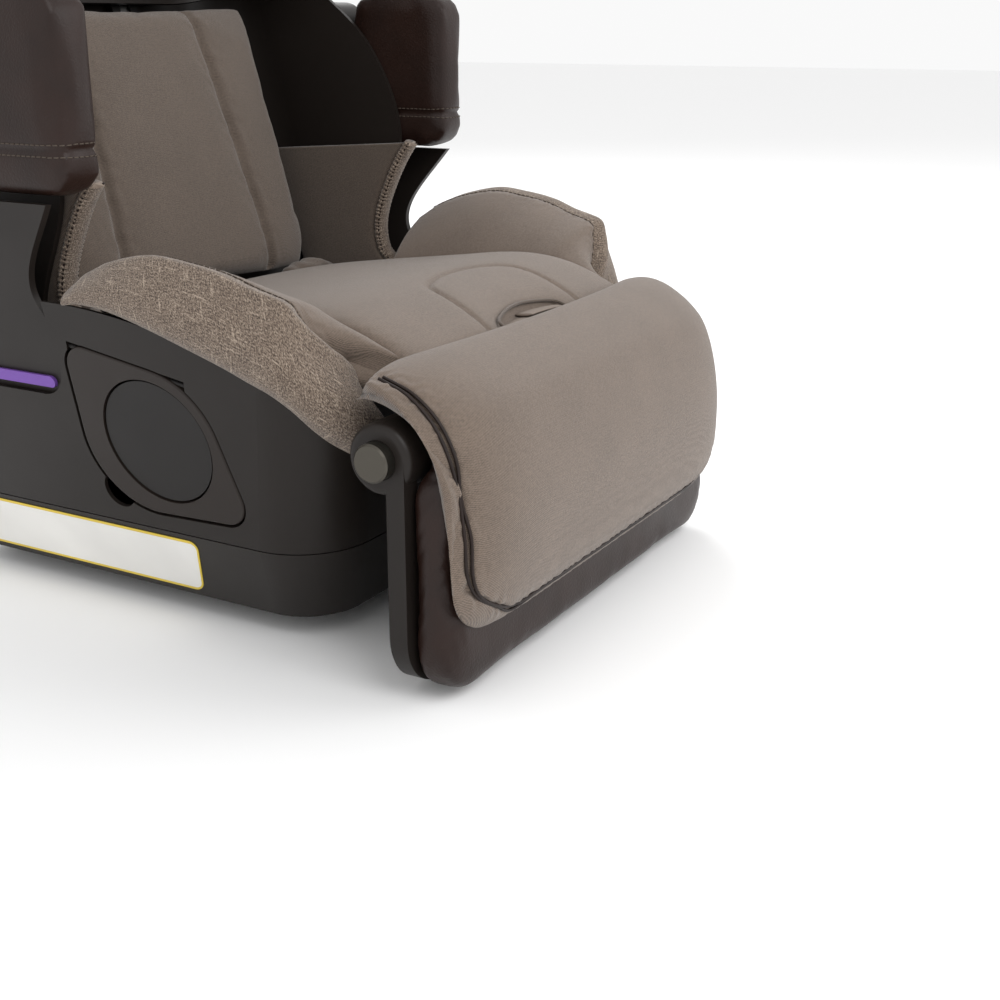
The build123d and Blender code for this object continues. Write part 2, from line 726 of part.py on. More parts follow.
with BuildPart() as cushion_insert:
    with BuildSketch(Plane.XY.offset(cushion_bottom_z)):
        with Locations((0, insert_front_y + insert_length / 2)):
            RectangleRounded(2 * insert_half_width, insert_length, insert_length / 3)
        with Locations((0, strap_slot_y)):
            Rectangle(strap_slot_width, strap_slot_depth, mode=Mode.SUBTRACT)
    extrude(amount=2 * cushion_crown_z - cushion_bottom_z)
    extrude(cushion_side(insert_height), amount=insert_half_width, both=True, mode=Mode.INTERSECT)
    extrude(cushion_side(), amount=cushion_half_width, both=True, mode=Mode.SUBTRACT)
save(cushion_insert, "cushion_insert")

with BuildPart() as crotch_strap:
    strap_low_z = pan_z - wall
    strap_top_z = cushion_crown_z + insert_height + strap_stand
    with BuildSketch(Plane.XY.offset(strap_low_z)):
        with Locations((0, strap_slot_y)):
            Rectangle(strap_slot_width - 2 * soft_gap, strap_slot_depth - 3 * soft_gap)
    extrude(amount=strap_top_z - strap_low_z)
save(crotch_strap, "crotch_strap")

ridge_inner_x = cushion_half_width + soft_gap + 1
with BuildSketch(Plane.YZ.offset(-side_x(form_top_z) - 10)) as bolster_profile:
    with BuildLine():
        Spline((-242, 178), (-210, 222), (-132, 254), (-75, 265), (-37, 258), (8, 240),
               tangents=[(0.2, 1), (1, -0.5)])
        Polyline((8, 240), (rim_rear_y - 2, 226), (rim_rear_y - 2, 140), (-242, 140), (-242, 178))
    make_face()
with BuildPart() as bolster_cover:
    form_block(rim_front_z - 30, form_top_z + 40)
    extrude(bolster_profile.sketch, amount=side_x(form_top_z) + 10 - ridge_inner_x,
            mode=Mode.INTERSECT)
    extrude(rim_sketch(soft_gap), amount=side_x(form_top_z) + 20, both=True, mode=Mode.INTERSECT)
save_pair(bolster_cover, "bolster_cover")

# Soft roll over the front of the cushion, kept behind the pivot so the calf support can swing.
calf_half_width = side_x(pivot_z) - 1
with BuildPart() as front_roll:
    with BuildSketch(Plane.YZ):
        with BuildLine():
            roll_base_z = roll_top_z - roll_height
            roll_front_y = pivot_y + 2 * soft_gap
            Polyline((cushion_front_y - soft_gap, roll_base_z),
                     (roll_front_y, roll_base_z), (roll_front_y, roll_top_z - roll_height / 3))
            RadiusArc((roll_front_y, roll_top_z - roll_height / 3),
                      (cushion_front_y - soft_gap, roll_top_z + 2), roll_height * 1.6)
            Line((cushion_front_y - soft_gap, roll_top_z + 2),
                 (cushion_front_y - soft_gap, roll_base_z))
        make_face()
    extrude(amount=cushion_half_width - 4, both=True)
save(front_roll, "front_roll")

# ---------------------------------------------------------------- calf support
arm_rear_y = pivot_y - arm_rear_offset
arm_front_y = arm_rear_y - arm_depth
pad_rear_y = arm_front_y - 0.2
socket_floor_x = calf_half_width - socket_depth
bracket_outer_x = bracket_half_spacing + bracket_width / 2
knuckle_start_x = bracket_outer_x + slip
pivot_plane = Plane(origin=(0, pivot_y, pivot_z), x_dir=(1, 0, 0), z_dir=(0, -1, 0))
pivot_axis = Axis((0, pivot_y, pivot_z), (1, 0, 0))

with BuildPart() as calf_frame:
    # U-shaped bar: two arms joined by a bar that follows the rounded foot of the pad.
    bar_height = pivot_z - calf_bottom_z - bar_lift
    with BuildSketch(Plane.XZ.offset(-arm_rear_y)):
        with Locations((0, calf_bottom_z + bar_lift + bar_height)):
            RectangleRounded(2 * calf_half_width, 2 * bar_height, calf_corner)
            RectangleRounded(2 * (calf_half_width - arm_width), 2 * (bar_height - arm_width),
                             calf_corner - arm_width, mode=Mode.SUBTRACT)
        with Locations((0, pivot_z + bar_height)):
            Rectangle(3 * calf_half_width, 2 * bar_height, mode=Mode.SUBTRACT)
    extrude(amount=arm_depth)
    chamfer(calf_frame.faces().sort_by(Axis.Y)[-1].edges().filter_by(GeomType.LINE).group_by(Axis.X)[0],
            length=wall / 2)
    # Round elbow over the pivot, with a softened outer rim.
    with BuildSketch(pivot_plane):
        with BuildLine():
            Polyline((-calf_half_width, 0), (-calf_half_width, elbow_radius - elbow_round))
            RadiusArc((-calf_half_width, elbow_radius - elbow_round),
                      (-calf_half_width + elbow_round, elbow_radius), elbow_round)
            Polyline((-calf_half_width + elbow_round, elbow_radius),
                     (-calf_half_width + elbow_length, elbow_radius),
                     (-calf_half_width + elbow_length, 0), (-calf_half_width, 0))
        make_face()
    revolve(axis=pivot_axis)
    with BuildSketch(Plane.YZ.offset(-calf_half_width + elbow_length)):
        with Locations((pivot_y, pivot_z)):
            Circle(knuckle_radius)
    extrude(amount=calf_half_width - elbow_length - knuckle_start_x)
    mirror(about=Plane.YZ)
    with Locations(Plane.YZ):
        with Locations((pivot_y, pivot_z)):
            Cylinder(shaft_radius + running_clearance, 4 * calf_half_width, mode=Mode.SUBTRACT)
    for end in (-1, 1):
        with BuildSketch(Plane.YZ.offset(end * calf_half_width)):
            with Locations((pivot_y, pivot_z)):
                Circle(button_radius + slip)
        extrude(amount=-end * socket_depth, mode=Mode.SUBTRACT)
save(calf_frame, "calf_frame")

with BuildPart() as calf_shaft:
    with BuildSketch(Plane.YZ):
        with Locations((pivot_y, pivot_z)):
            Circle(shaft_radius)
    extrude(amount=socket_floor_x - 1, both=True)
save(calf_shaft, "calf_shaft")

with BuildPart() as calf_brackets:
    with BuildSketch(Plane.YZ.offset(-bracket_outer_x)):
        with Locations((pivot_y, pivot_z)):
            Circle(knuckle_radius)
        with Locations((pivot_y + knuckle_radius, pivot_z - knuckle_radius)):
            Rectangle(3 * knuckle_radius, 2 * knuckle_radius)
        make_hull()
    extrude(amount=bracket_width)
    mirror(about=Plane.YZ)
    form_block(joint_line_z + joint_gap, form_top_z, 0, Mode.SUBTRACT)
    with Locations(Plane.YZ):
        with Locations((pivot_y, pivot_z)):
            Cylinder(shaft_radius, 4 * calf_half_width, mode=Mode.SUBTRACT)
save(calf_brackets, "calf_brackets")

with BuildPart() as calf_pad:
    pad_top_z = pivot_z + 6
    pad_height = pad_top_z - calf_bottom_z
    with BuildSketch(Plane.XZ.offset(-pad_rear_y)):
        with Locations((0, calf_bottom_z + pad_height / 2)):
            RectangleRounded(2 * (calf_half_width - 3), pad_height, calf_corner - 3)
    extrude(amount=calf_pad_depth)
    fillet(calf_pad.faces().sort_by(Axis.Y)[0].edges(), radius=soft_round)
    with Locations(Plane.YZ):
        with Locations((pivot_y, pivot_z)):
            Cylinder(elbow_radius + soft_gap, 3 * calf_half_width, mode=Mode.SUBTRACT)
save(calf_pad, "calf_pad")

with BuildPart() as calf_panel:
    panel_y = pad_rear_y + 2.6
    panel_top_z = pivot_z - elbow_radius - 4
    panel_low_z = calf_bottom_z + bar_lift + arm_width + slip
    with BuildSketch(Plane.XZ.offset(-panel_y)):
        with Locations((0, (panel_low_z + panel_top_z) / 2)):
            Rectangle(2 * (calf_half_width - calf_corner), panel_top_z - panel_low_z)
    extrude(amount=2.4)
save(calf_panel, "calf_panel")

with BuildPart() as calf_flap:
    flap_rear_y = pad_rear_y - calf_pad_depth - soft_gap
    flap_top_z = pivot_z - 2
    with BuildSketch(Plane.XZ.offset(-flap_rear_y)):
        with Locations((0, (flap_bottom_z + flap_top_z) / 2)):
            RectangleRounded(2 * flap_half_width, flap_top_z - flap_bottom_z, 20)
    extrude(amount=flap_thickness)
    fillet(calf_flap.faces().sort_by(Axis.Y)[0].edges(), radius=soft_round - 2)
save(calf_flap, "calf_flap")

button_inner_x = socket_floor_x + button_travel + 0.5
with BuildPart() as calf_button:
    with BuildSketch(Plane.YZ.offset(-calf_half_width - button_stand)):
        with Locations((pivot_y, pivot_z)):
            Circle(button_radius)
    extrude(amount=calf_half_width + button_stand - button_inner_x)
    chamfer(calf_button.edges().sort_by(Axis.X)[0], length=1.2)
    with BuildSketch(Plane.YZ.offset(-button_inner_x)):
        with Locations((pivot_y, pivot_z)):
            Circle(button_radius - 4)
    extrude(amount=-8, mode=Mode.SUBTRACT)
save_pair(calf_button, "calf_button")

spring_radius = button_radius - 4 - 2 * spring_wire
spring_height = 8 - 2 * spring_wire
spring_foot = Vector(-socket_floor_x - spring_wire, pivot_y, pivot_z)
with BuildPart() as button_spring:
    with BuildLine() as spring_path:
        Helix(pitch=spring_height / 3.5, height=spring_height, radius=spring_radius,
              center=spring_foot, direction=(-1, 0, 0))
    with BuildSketch(spring_path.line ^ 0):
        Circle(spring_wire)
    sweep()
save_pair(button_spring, "button_spring")

# ---------------------------------------------------------------- headrest
def back_bar(x, depth, low, width, thickness, length):
    """Flat bar that stands along the back, at a depth behind the child's back."""
    with BuildSketch(back_plane.offset(-depth)) as face:
        with Locations((x, low + length / 2)):
            Rectangle(width, length)
    return extrude(face.sketch, amount=thickness)


rail_depth = back_depth - back_wall - slip
rail_low = head_bottom - rail_drop
rail_length = rail_drop + 100
shell_depth = 50.0
with BuildPart() as headrest_rails:
    for rail_side in (-1, 1):
        rail_x = rail_side * rail_half_spacing
        back_bar(rail_x, rail_depth, rail_low, rail_width, rail_thickness, rail_length)
        stand_off = rail_depth - rail_thickness - shell_depth
        back_bar(rail_x, shell_depth + stand_off, head_bottom + 22, rail_width / 2 - 2, stand_off,
                 rail_length - rail_drop - 30)
save(headrest_rails, "headrest_rails")

plate_front = back_depth - back_wall
guide_spots = [(side * rail_half_spacing, low)
               for side in (-1, 1) for low in (head_bottom - 14, back_height - guide_length - 16)]
with BuildPart() as guide_channels:
    for rail_side in (-1, 1):
        rail_x = rail_side * rail_half_spacing
        back_bar(rail_x, plate_front, rail_low, rail_width + 2 * slip, rail_thickness + 2 * slip,
                 2 * rail_length)
        back_bar(rail_x, plate_front, rail_low, rail_width / 2 + 1, 3 * rail_thickness,
                 2 * rail_length)
with BuildPart() as rail_guides:
    for guide_x, guide_low_y in guide_spots:
        back_bar(guide_x, plate_front, guide_low_y, rail_width + 8,
                 rail_thickness + guide_wall + 2 * slip, guide_length)
    add(guide_channels.part, mode=Mode.SUBTRACT)
save(rail_guides, "rail_guides")

head_top = head_bottom + head_height
with BuildSketch(across_plane.offset(head_bottom)) as head_channel:
    head_depth = head_wing_reach + shell_depth
    with Locations((0, shell_depth - head_depth)):
        RectangleRounded(2 * head_half_width, 2 * head_depth, 46)
with BuildSketch(across_plane.offset(head_bottom)) as head_hollow:
    with Locations((0, shell_depth - head_depth)):
        RectangleRounded(2 * (head_half_width - head_wall), 2 * head_depth - 2 * head_wall,
                         46 - head_wall)
# Side view of the headrest in the plane of symmetry: x towards the child, y up along the back.
head_side_plane = Plane(origin=crease, x_dir=back_plane.z_dir, z_dir=(-1, 0, 0))
with BuildSketch(head_side_plane) as head_side:
    with Locations((0, head_bottom + head_height / 2)):
        RectangleRounded(2 * head_wing_reach, head_height, 60)
    with Locations((-head_wing_reach / 2 - shell_depth / 2, head_bottom + head_height / 2)):
        Rectangle(head_wing_reach + shell_depth, head_height)
with BuildPart() as headrest_shell:
    extrude(head_channel.sketch, amount=head_height)
    extrude(head_hollow.sketch, amount=head_height, mode=Mode.SUBTRACT)
    extrude(head_side.sketch, amount=head_half_width + wall, both=True, mode=Mode.INTERSECT)
    # Ears for the height lever's pin.
    for ear_x in (-26, 26):
        with Locations(back_plane.offset(-shell_depth)):
            with Locations((ear_x, head_top - 14, -6)):
                Box(4, 10, 12.4)
    lever_axis = back_plane.offset(-shell_depth - 8).from_local_coords(Vector(0, head_top - 14, 0))
    lever_plane = Plane(origin=lever_axis, x_dir=back_plane.y_dir, z_dir=(1, 0, 0))
    with BuildSketch(lever_plane):
        Circle(1.5)
    extrude(amount=40, both=True, mode=Mode.SUBTRACT)
save(headrest_shell, "headrest_shell")

with BuildPart() as lever_pin:
    with BuildSketch(lever_plane):
        Circle(1.5)
    extrude(amount=28, both=True)
save(lever_pin, "lever_pin")

with BuildPart() as height_lever:
    with BuildSketch(lever_plane):
        Circle(3.4)
        with Locations((-18, 0)):
            RectangleRounded(34, 5, 2)
        Circle(1.5 + running_clearance, mode=Mode.SUBTRACT)
    extrude(amount=22, both=True)
save(height_lever, "height_lever")

with BuildPart() as head_pad:
    with BuildSketch(back_plane.offset(-shell_depth + head_wall + soft_gap)):
        with Locations((0, head_bottom + head_height / 2)):
            RectangleRounded(2 * (head_half_width - 46), head_height - 16, 30)
    extrude(amount=head_pad_thickness)
    fillet(head_pad.faces().sort_by(Axis.Y)[0].edges(), radius=soft_round)
save(head_pad, "head_pad")

with BuildPart() as head_wing_pad:
    wing_side_plane = Plane(origin=back_plane.from_local_coords(
        Vector(-head_half_width + head_wall + soft_gap, 0, 0)), x_dir=back_plane.z_dir, z_dir=(-1, 0, 0))
    with BuildSketch(wing_side_plane):
        with Locations((head_wing_reach / 2 - 6, head_bottom + head_height / 2)):
            RectangleRounded(head_wing_reach, head_height - 22, 42)
    extrude(amount=-26)
    fillet(head_wing_pad.faces().sort_by(Axis.X)[-1].edges(), radius=soft_round)
save_pair(head_wing_pad, "head_wing_pad")

# ---------------------------------------------------------------- lower anchor connectors
anchor_rear_y = joint_rear_y + anchor_stand
anchor_front_y = anchor_rear_y - anchor_length
jaw_centre_y = anchor_rear_y - jaw_depth
anchor_x = -anchor_half_spacing
with BuildPart() as anchor_arm:
    with BuildSketch(Plane.YZ.offset(anchor_x - anchor_width / 2)):
        with Locations(((anchor_rear_y + anchor_front_y) / 2, anchor_z)):
            RectangleRounded(anchor_length, anchor_height, 5)
        with Locations((jaw_centre_y, anchor_z)):
            Circle(anchor_bar_radius, mode=Mode.SUBTRACT)
        with Locations((jaw_centre_y + jaw_depth / 2, anchor_z)):
            Rectangle(jaw_depth, 2 * anchor_bar_radius, mode=Mode.SUBTRACT)
    extrude(amount=anchor_width)
    button_y = jaw_centre_y - 14
    with Locations((anchor_x, button_y, anchor_z + anchor_height / 2)):
        Box(8 + 2 * slip, 12 + 2 * slip, 14, mode=Mode.SUBTRACT)
save_pair(anchor_arm, "anchor_arm")

with BuildPart() as anchor_button:
    button_height = 11 - anchor_button_travel
    with Locations((anchor_x, button_y, anchor_z + anchor_height / 2 + 3 - button_height / 2 + 1)):
        Box(8, 12, button_height)
    chamfer(anchor_button.faces().sort_by(Axis.Z)[-1].edges(), length=1)
save_pair(anchor_button, "anchor_button")

with BuildPart() as anchor_guides:
    guide_box_height = anchor_height + 2 * slip + 2 * wall
    guide_middle_y = (anchor_front_y + joint_rear_y) / 2 - 12
    guide_box_length = joint_rear_y - anchor_front_y - 34
    with Locations((anchor_x, guide_middle_y, anchor_z)):
        Box(anchor_width + 2 * slip + 2 * wall, guide_box_length, guide_box_height)
        Box(anchor_width + 2 * slip, 2 * guide_box_length, anchor_height + 2 * slip,
            mode=Mode.SUBTRACT)
    mirror(about=Plane.YZ)
    # Steel tie that joins the two guides across the tub.
    with Locations((0, guide_middle_y, anchor_z)):
        Box(2 * anchor_half_spacing - anchor_width - 2 * slip - 2 * wall, 22, 12)
    # Feet down to the tub floor.
    foot_height = anchor_z - guide_box_height / 2 - floor_gap - wall
    with Locations((-anchor_half_spacing, guide_middle_y, floor_gap + wall + foot_height / 2),
                   (anchor_half_spacing, guide_middle_y, floor_gap + wall + foot_height / 2)):
        Box(anchor_width, 40, foot_height)
save(anchor_guides, "anchor_guides")

# ---------------------------------------------------------------- label and fasteners
with BuildPart() as care_label:
    with BuildSketch(Plane.YZ.offset(-joint_half_width - 10)):
        with Locations((62, (floor_gap + joint_line_z) / 2 + 3)):
            RectangleRounded(200, 26, 5)
    extrude(amount=60)
    form_block(floor_gap, joint_line_z, -0.5, Mode.INTERSECT)
    form_block(floor_gap, joint_line_z, 0, Mode.SUBTRACT)
save(care_label, "care_label")

with BuildPart() as cover_screws:
    screw_spots = [(x * (back_half_width - back_corner - 14), cover_start + y)
                   for x in (-1, 1) for y in (16, cover_height - 16)]
    with BuildSketch(back_plane.offset(-back_depth - rear_cover_thickness)):
        with Locations(*screw_spots):
            Circle(screw_radius)
    extrude(amount=-screw_height)
    chamfer(cover_screws.edges().filter_by(GeomType.CIRCLE).group_by(Axis.Y)[-1], length=0.6)
save(cover_screws, "cover_screws")

with BuildPart() as frame_screws:
    post_screw_spots = [(post_front_y + 100, pan_top_z + 40), (post_front_y + 100, post_top_z - 24),
                        (post_front_y + 40, post_top_z - 24)]
    with BuildSketch(post_plane):
        with Locations(*post_screw_spots):
            Circle(screw_radius)
    extrude(amount=side_x(post_top_z))
    add(side_layer(post_inset - screw_height + 0.6, post_inset, pan_top_z, post_top_z),
        mode=Mode.INTERSECT)
    mirror(about=Plane.YZ)
save(frame_screws, "frame_screws")
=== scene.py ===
"""Looks for a child car seat: upholstery, finishes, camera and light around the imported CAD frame."""

import json
import math

import bpy
import numpy as np
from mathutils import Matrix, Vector
from mathutils.bvhtree import BVHTree

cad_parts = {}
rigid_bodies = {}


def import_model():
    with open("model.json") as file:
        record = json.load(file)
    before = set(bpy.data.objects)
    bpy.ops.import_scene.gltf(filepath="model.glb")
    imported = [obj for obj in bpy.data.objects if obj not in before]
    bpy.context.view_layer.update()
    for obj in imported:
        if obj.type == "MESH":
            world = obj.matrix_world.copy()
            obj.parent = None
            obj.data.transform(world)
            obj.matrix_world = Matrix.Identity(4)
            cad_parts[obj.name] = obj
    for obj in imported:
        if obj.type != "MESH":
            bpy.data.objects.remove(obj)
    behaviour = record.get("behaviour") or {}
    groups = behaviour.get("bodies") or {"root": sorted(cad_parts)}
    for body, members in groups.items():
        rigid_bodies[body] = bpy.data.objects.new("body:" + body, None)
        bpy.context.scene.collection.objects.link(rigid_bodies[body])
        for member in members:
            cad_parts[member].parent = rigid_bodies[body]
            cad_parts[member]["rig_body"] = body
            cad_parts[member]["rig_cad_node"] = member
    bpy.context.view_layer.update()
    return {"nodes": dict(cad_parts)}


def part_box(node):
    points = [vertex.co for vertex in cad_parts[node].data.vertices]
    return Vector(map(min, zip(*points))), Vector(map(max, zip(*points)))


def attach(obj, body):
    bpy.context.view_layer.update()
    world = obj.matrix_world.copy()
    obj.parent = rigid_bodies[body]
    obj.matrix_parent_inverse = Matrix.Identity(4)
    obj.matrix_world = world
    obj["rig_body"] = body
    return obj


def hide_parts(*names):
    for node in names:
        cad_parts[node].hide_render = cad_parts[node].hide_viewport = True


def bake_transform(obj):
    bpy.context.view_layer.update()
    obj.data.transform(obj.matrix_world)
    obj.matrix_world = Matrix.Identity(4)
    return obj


bl_info = {
    "name": "Child car seat upholstery",
    "version": (1, 0, 0),
    "blender": (4, 5, 0),
    "location": "View3D > Sidebar > Car seat",
    "description": "Builds the soft goods, finishes and studio of a child car seat",
    "category": "Object",
}

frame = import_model()
nodes = frame["nodes"]
MM = 0.001

# ------------------------------------------------------------------ form of the shell, in mm
JOINT_Z = 72.0
JOINT_HALF_WIDTH = 187.0
FOOT_Z = 17.0
FOOT_HALF_WIDTH = 162.0
JOINT_FRONT_Y = -168.0
DRAFT = math.tan(math.radians(13.0))
CORNER = 50.0
CREASE = np.array((0.0, 80.0, 200.0))
LEAN = math.radians(17.0)
BACK_UP = np.array((0.0, math.sin(LEAN), math.cos(LEAN)))
BACK_OUT = np.array((0.0, -math.cos(LEAN), math.sin(LEAN)))


def side_x(z):
    """Half width of the shell at height z."""
    return JOINT_HALF_WIDTH + (z - JOINT_Z) * DRAFT


def front_y(z):
    """Front face of the shell at height z."""
    return JOINT_FRONT_Y - (z - JOINT_Z) * DRAFT


def back_point(x, up, out):
    """Point given across, up along and out from the front of the back."""
    return CREASE + np.array((x, 0.0, 0.0)) + BACK_UP * up + BACK_OUT * out


# ------------------------------------------------------------------ numbers to meshes
def through(points, count):
    """Smooth curve through the points, evenly spaced."""
    p = np.array(points, float)
    p = np.vstack([2 * p[0] - p[1], p, 2 * p[-1] - p[-2]])
    dense = []
    for a, b, c, d in zip(p[:-3], p[1:-2], p[2:-1], p[3:]):
        for t in np.linspace(0, 1, 24, endpoint=False):
            dense.append(0.5 * (2 * b + (c - a) * t + (2 * a - 5 * b + 4 * c - d) * t ** 2
                                + (3 * b - a - 3 * c + d) * t ** 3))
    dense.append(p[-2])
    return respaced(np.array(dense), count)


def respaced(line, count):
    """The same polyline with evenly spaced points."""
    step = np.linalg.norm(np.diff(line, axis=0), axis=1)
    along = np.concatenate([[0], np.cumsum(step)])
    at = np.linspace(0, along[-1], count)
    return np.stack([np.interp(at, along, line[:, k]) for k in range(line.shape[1])], axis=1)


def new_piece(name, verts, faces, material, uvs=None):
    """Mesh object from points in mm, with outward normals and smooth faces."""
    mesh = bpy.data.meshes.new(name)
    mesh.from_pydata([tuple(v) for v in np.asarray(verts) * MM], [], faces)
    if uvs is not None:
        layer = mesh.uv_layers.new(name="weave")
        layer.data.foreach_set("uv", np.asarray(uvs, np.float32).ravel())
    mesh.materials.append(material)
    obj = bpy.data.objects.new(name, mesh)
    bpy.context.scene.collection.objects.link(obj)
    tidy_normals(obj)
    return obj


def tidy_normals(obj):
    """Closed mesh: faces smooth and pointing outwards."""
    mesh = obj.data
    bpy.ops.object.select_all(action="DESELECT")
    bpy.context.view_layer.objects.active = obj
    obj.select_set(True)
    bpy.ops.object.mode_set(mode="EDIT")
    bpy.ops.mesh.select_all(action="SELECT")
    bpy.ops.mesh.normals_make_consistent(inside=False)
    bpy.ops.object.mode_set(mode="OBJECT")
    mesh.shade_smooth()


def loft(name, rings, material, fan_ends=True):
    """Closed tube through rings of points, rows by columns, with both ends filled."""
    rings = np.asarray(rings, float)
    rows, cols = rings.shape[:2]
    verts = rings.reshape(-1, 3)
    run = np.linalg.norm(np.diff(rings, axis=0), axis=2).mean(axis=1)
    u = np.concatenate([[0], np.cumsum(run)]) * MM
    closed = np.concatenate([rings, rings[:, :1]], axis=1)
    across = np.linalg.norm(np.diff(closed, axis=1), axis=2).mean(axis=0)
    v = np.concatenate([[0], np.cumsum(across)]) * MM
    faces, uvs = [], []
    for i in range(rows - 1):
        for j in range(cols):
            k = (j + 1) % cols
            faces.append((i * cols + j, i * cols + k, (i + 1) * cols + k, (i + 1) * cols + j))
            uvs += [(u[i], v[j]), (u[i], v[j + 1]), (u[i + 1], v[j + 1]), (u[i + 1], v[j])]
    for i, flip in ((0, True), (rows - 1, False)):
        if fan_ends:
            verts = np.vstack([verts, rings[i].mean(axis=0)])
            hub = len(verts) - 1
            for j in range(cols):
                face = (i * cols + j, i * cols + (j + 1) % cols, hub)
                faces.append(face[::-1] if flip else face)
                uvs += [(u[i], v[j])] * 3
        else:
            for j in range(cols // 2 - 1):
                a, b, c, d = j, j + 1, cols - 2 - j, cols - 1 - j
                face = tuple(i * cols + n for n in (a, b, c, d))
                faces.append(face[::-1] if flip else face)
                uvs += [(u[i], v[a]), (u[i], v[b]), (u[i], v[b]), (u[i], v[a])]
    return new_piece(name, verts, faces, material, uvs)


def rounded_ends(rings, length, steps=6):
    """Rings with a softly rounded nose added beyond each end."""
    rings = np.asarray(rings, float)

    def nose(ring, inward):
        hub = ring.mean(axis=0)
        away = hub - inward.mean(axis=0)
        away = away / np.linalg.norm(away)
        made = []
        for t in np.linspace(0, 1, steps + 1)[1:]:
            size = math.cos(t * math.pi / 2 * 0.97)
            made.append(hub + (ring - hub) * size + away * length * math.sin(t * math.pi / 2))
        return made

    first = nose(rings[0], rings[1])[::-1]
    last = nose(rings[-1], rings[-2])
    return np.array(first + list(rings) + last)


def eased(count):
    """Numbers from -1 to 1 that crowd towards both ends."""
    t = np.linspace(-1, 1, count)
    return 0.45 * t + 0.55 * np.sin(t * math.pi / 2)


def edge_shape(a, b, power):
    """1 in the middle of a pad, falling to 0 at its edges."""
    return ((1 - np.abs(a) ** power) * (1 - np.abs(b) ** power)).clip(0) ** (1 / power)


def slab(name, top, bottom, material):
    """Closed pad from an upper and a lower grid, rows by columns."""
    rings = np.concatenate([top, bottom[:, ::-1]], axis=1)
    return loft(name, rings, material, fan_ends=False)


def distance_to(points, line):
    """Distance of each point from a polyline."""
    best = np.full(len(points), 1e9)
    for a, b in zip(line[:-1], line[1:]):
        d = b - a
        t = (((points - a) @ d) / max(d @ d, 1e-12)).clip(0, 1)
        best = np.minimum(best, np.linalg.norm(points - a - t[:, None] * d, axis=1))
    return best


def on_surface(obj, lines, lift=0.0):
    """Lines moved to the nearest place on a mesh, then out along its normal, in mm."""
    mesh = obj.data
    tree = BVHTree.FromPolygons([v.co for v in mesh.vertices], [p.vertices[:] for p in mesh.polygons])
    moved = []
    for line in lines:
        points = []
        for point in np.asarray(line, float):
            near, normal = tree.find_nearest(Vector(point * MM))[:2]
            points.append(np.array(near) / MM + np.array(normal) * lift)
        moved.append(np.array(points))
    return moved


def sink_seams(obj, lines, depth, width, direction=None):
    """Press a seam into a finished pad along each line, in mm."""
    lines = on_surface(obj, lines)
    mesh = obj.data
    co = np.zeros(len(mesh.vertices) * 3)
    mesh.vertices.foreach_get("co", co)
    co = co.reshape(-1, 3) / MM
    normal = np.array([v.normal[:] for v in mesh.vertices])
    away = normal if direction is None else np.tile(direction, (len(co), 1))
    facing = np.ones(len(co)) if direction is None else (normal @ direction > 0.1)
    near = np.full(len(co), 1e9)
    for line in lines:
        near = np.minimum(near, distance_to(co, np.asarray(line, float)))
    press = depth * np.exp(-(near / width) ** 2) + 0.35 * depth * np.exp(-(near / (4 * width)) ** 2)
    co = co - away * (press * facing)[:, None]
    mesh.vertices.foreach_set("co", (co * MM).ravel())
    mesh.update()


def wrinkle(obj, lines, reach, height, wavelength, seed):
    """Small puckers that run away from each seam line."""
    mesh = obj.data
    co = np.array([v.co[:] for v in mesh.vertices]) / MM
    normal = np.array([v.normal[:] for v in mesh.vertices])
    near = np.full(len(co), 1e9)
    for line in lines:
        near = np.minimum(near, distance_to(co, np.asarray(line, float)))
    along = np.array([0.83, 0.61, 0.49]) / wavelength
    phase = co @ along * 2 * math.pi
    other = co @ np.array([-0.47, 0.74, 0.36]) / (wavelength * 1.9) * 2 * math.pi + seed
    ripple = np.sin(phase + 1.7 * np.sin(other)) * np.exp(-(near / reach) ** 2)
    co = co + normal * (height * ripple)[:, None]
    mesh.vertices.foreach_set("co", (co * MM).ravel())
    mesh.update()


def puff(obj, voxel, cap, pressure=4.0, frames=14):
    """Fill a closed pad by cloth simulation, with a limit on how far it may swell."""
    remesh = obj.modifiers.new("remesh", "REMESH")
    remesh.mode = "VOXEL"
    remesh.voxel_size = voxel
    bake_modifiers(obj)
    start = np.array([v.co[:] for v in obj.data.vertices])
    cloth = obj.modifiers.new("cloth", "CLOTH")
    cloth.settings.use_pressure = True
    cloth.settings.uniform_pressure_force = pressure
    cloth.settings.effector_weights.gravity = 0
    cloth.settings.tension_stiffness = 30
    cloth.settings.bending_stiffness = 2
    scene = bpy.context.scene
    for number in range(1, frames + 1):
        scene.frame_set(number)
    bake_modifiers(obj)
    scene.frame_set(1)
    moved = np.array([v.co[:] for v in obj.data.vertices])
    shift = moved - start
    length = np.linalg.norm(shift, axis=1)
    shift *= np.minimum(1, cap * MM / np.maximum(length, 1e-9))[:, None]
    obj.data.vertices.foreach_set("co", (start + shift).ravel())
    smooth = obj.modifiers.new("smooth", "SMOOTH")
    smooth.factor = 0.5
    smooth.iterations = 3
    finer = obj.modifiers.new("finer", "SUBSURF")
    finer.levels = 1
    finer.render_levels = 1
    bake_modifiers(obj)
    obj.data.shade_smooth()


def bake_modifiers(obj):
    """Make the evaluated shape the object's own mesh."""
    deps = bpy.context.evaluated_depsgraph_get()
    deps.update()
    mesh = bpy.data.meshes.new_from_object(obj.evaluated_get(deps))
    material = obj.data.materials[0] if obj.data.materials else None
    obj.modifiers.clear()
    obj.data = mesh
    if material and not mesh.materials:
        mesh.materials.append(material)
    mesh.shade_smooth()


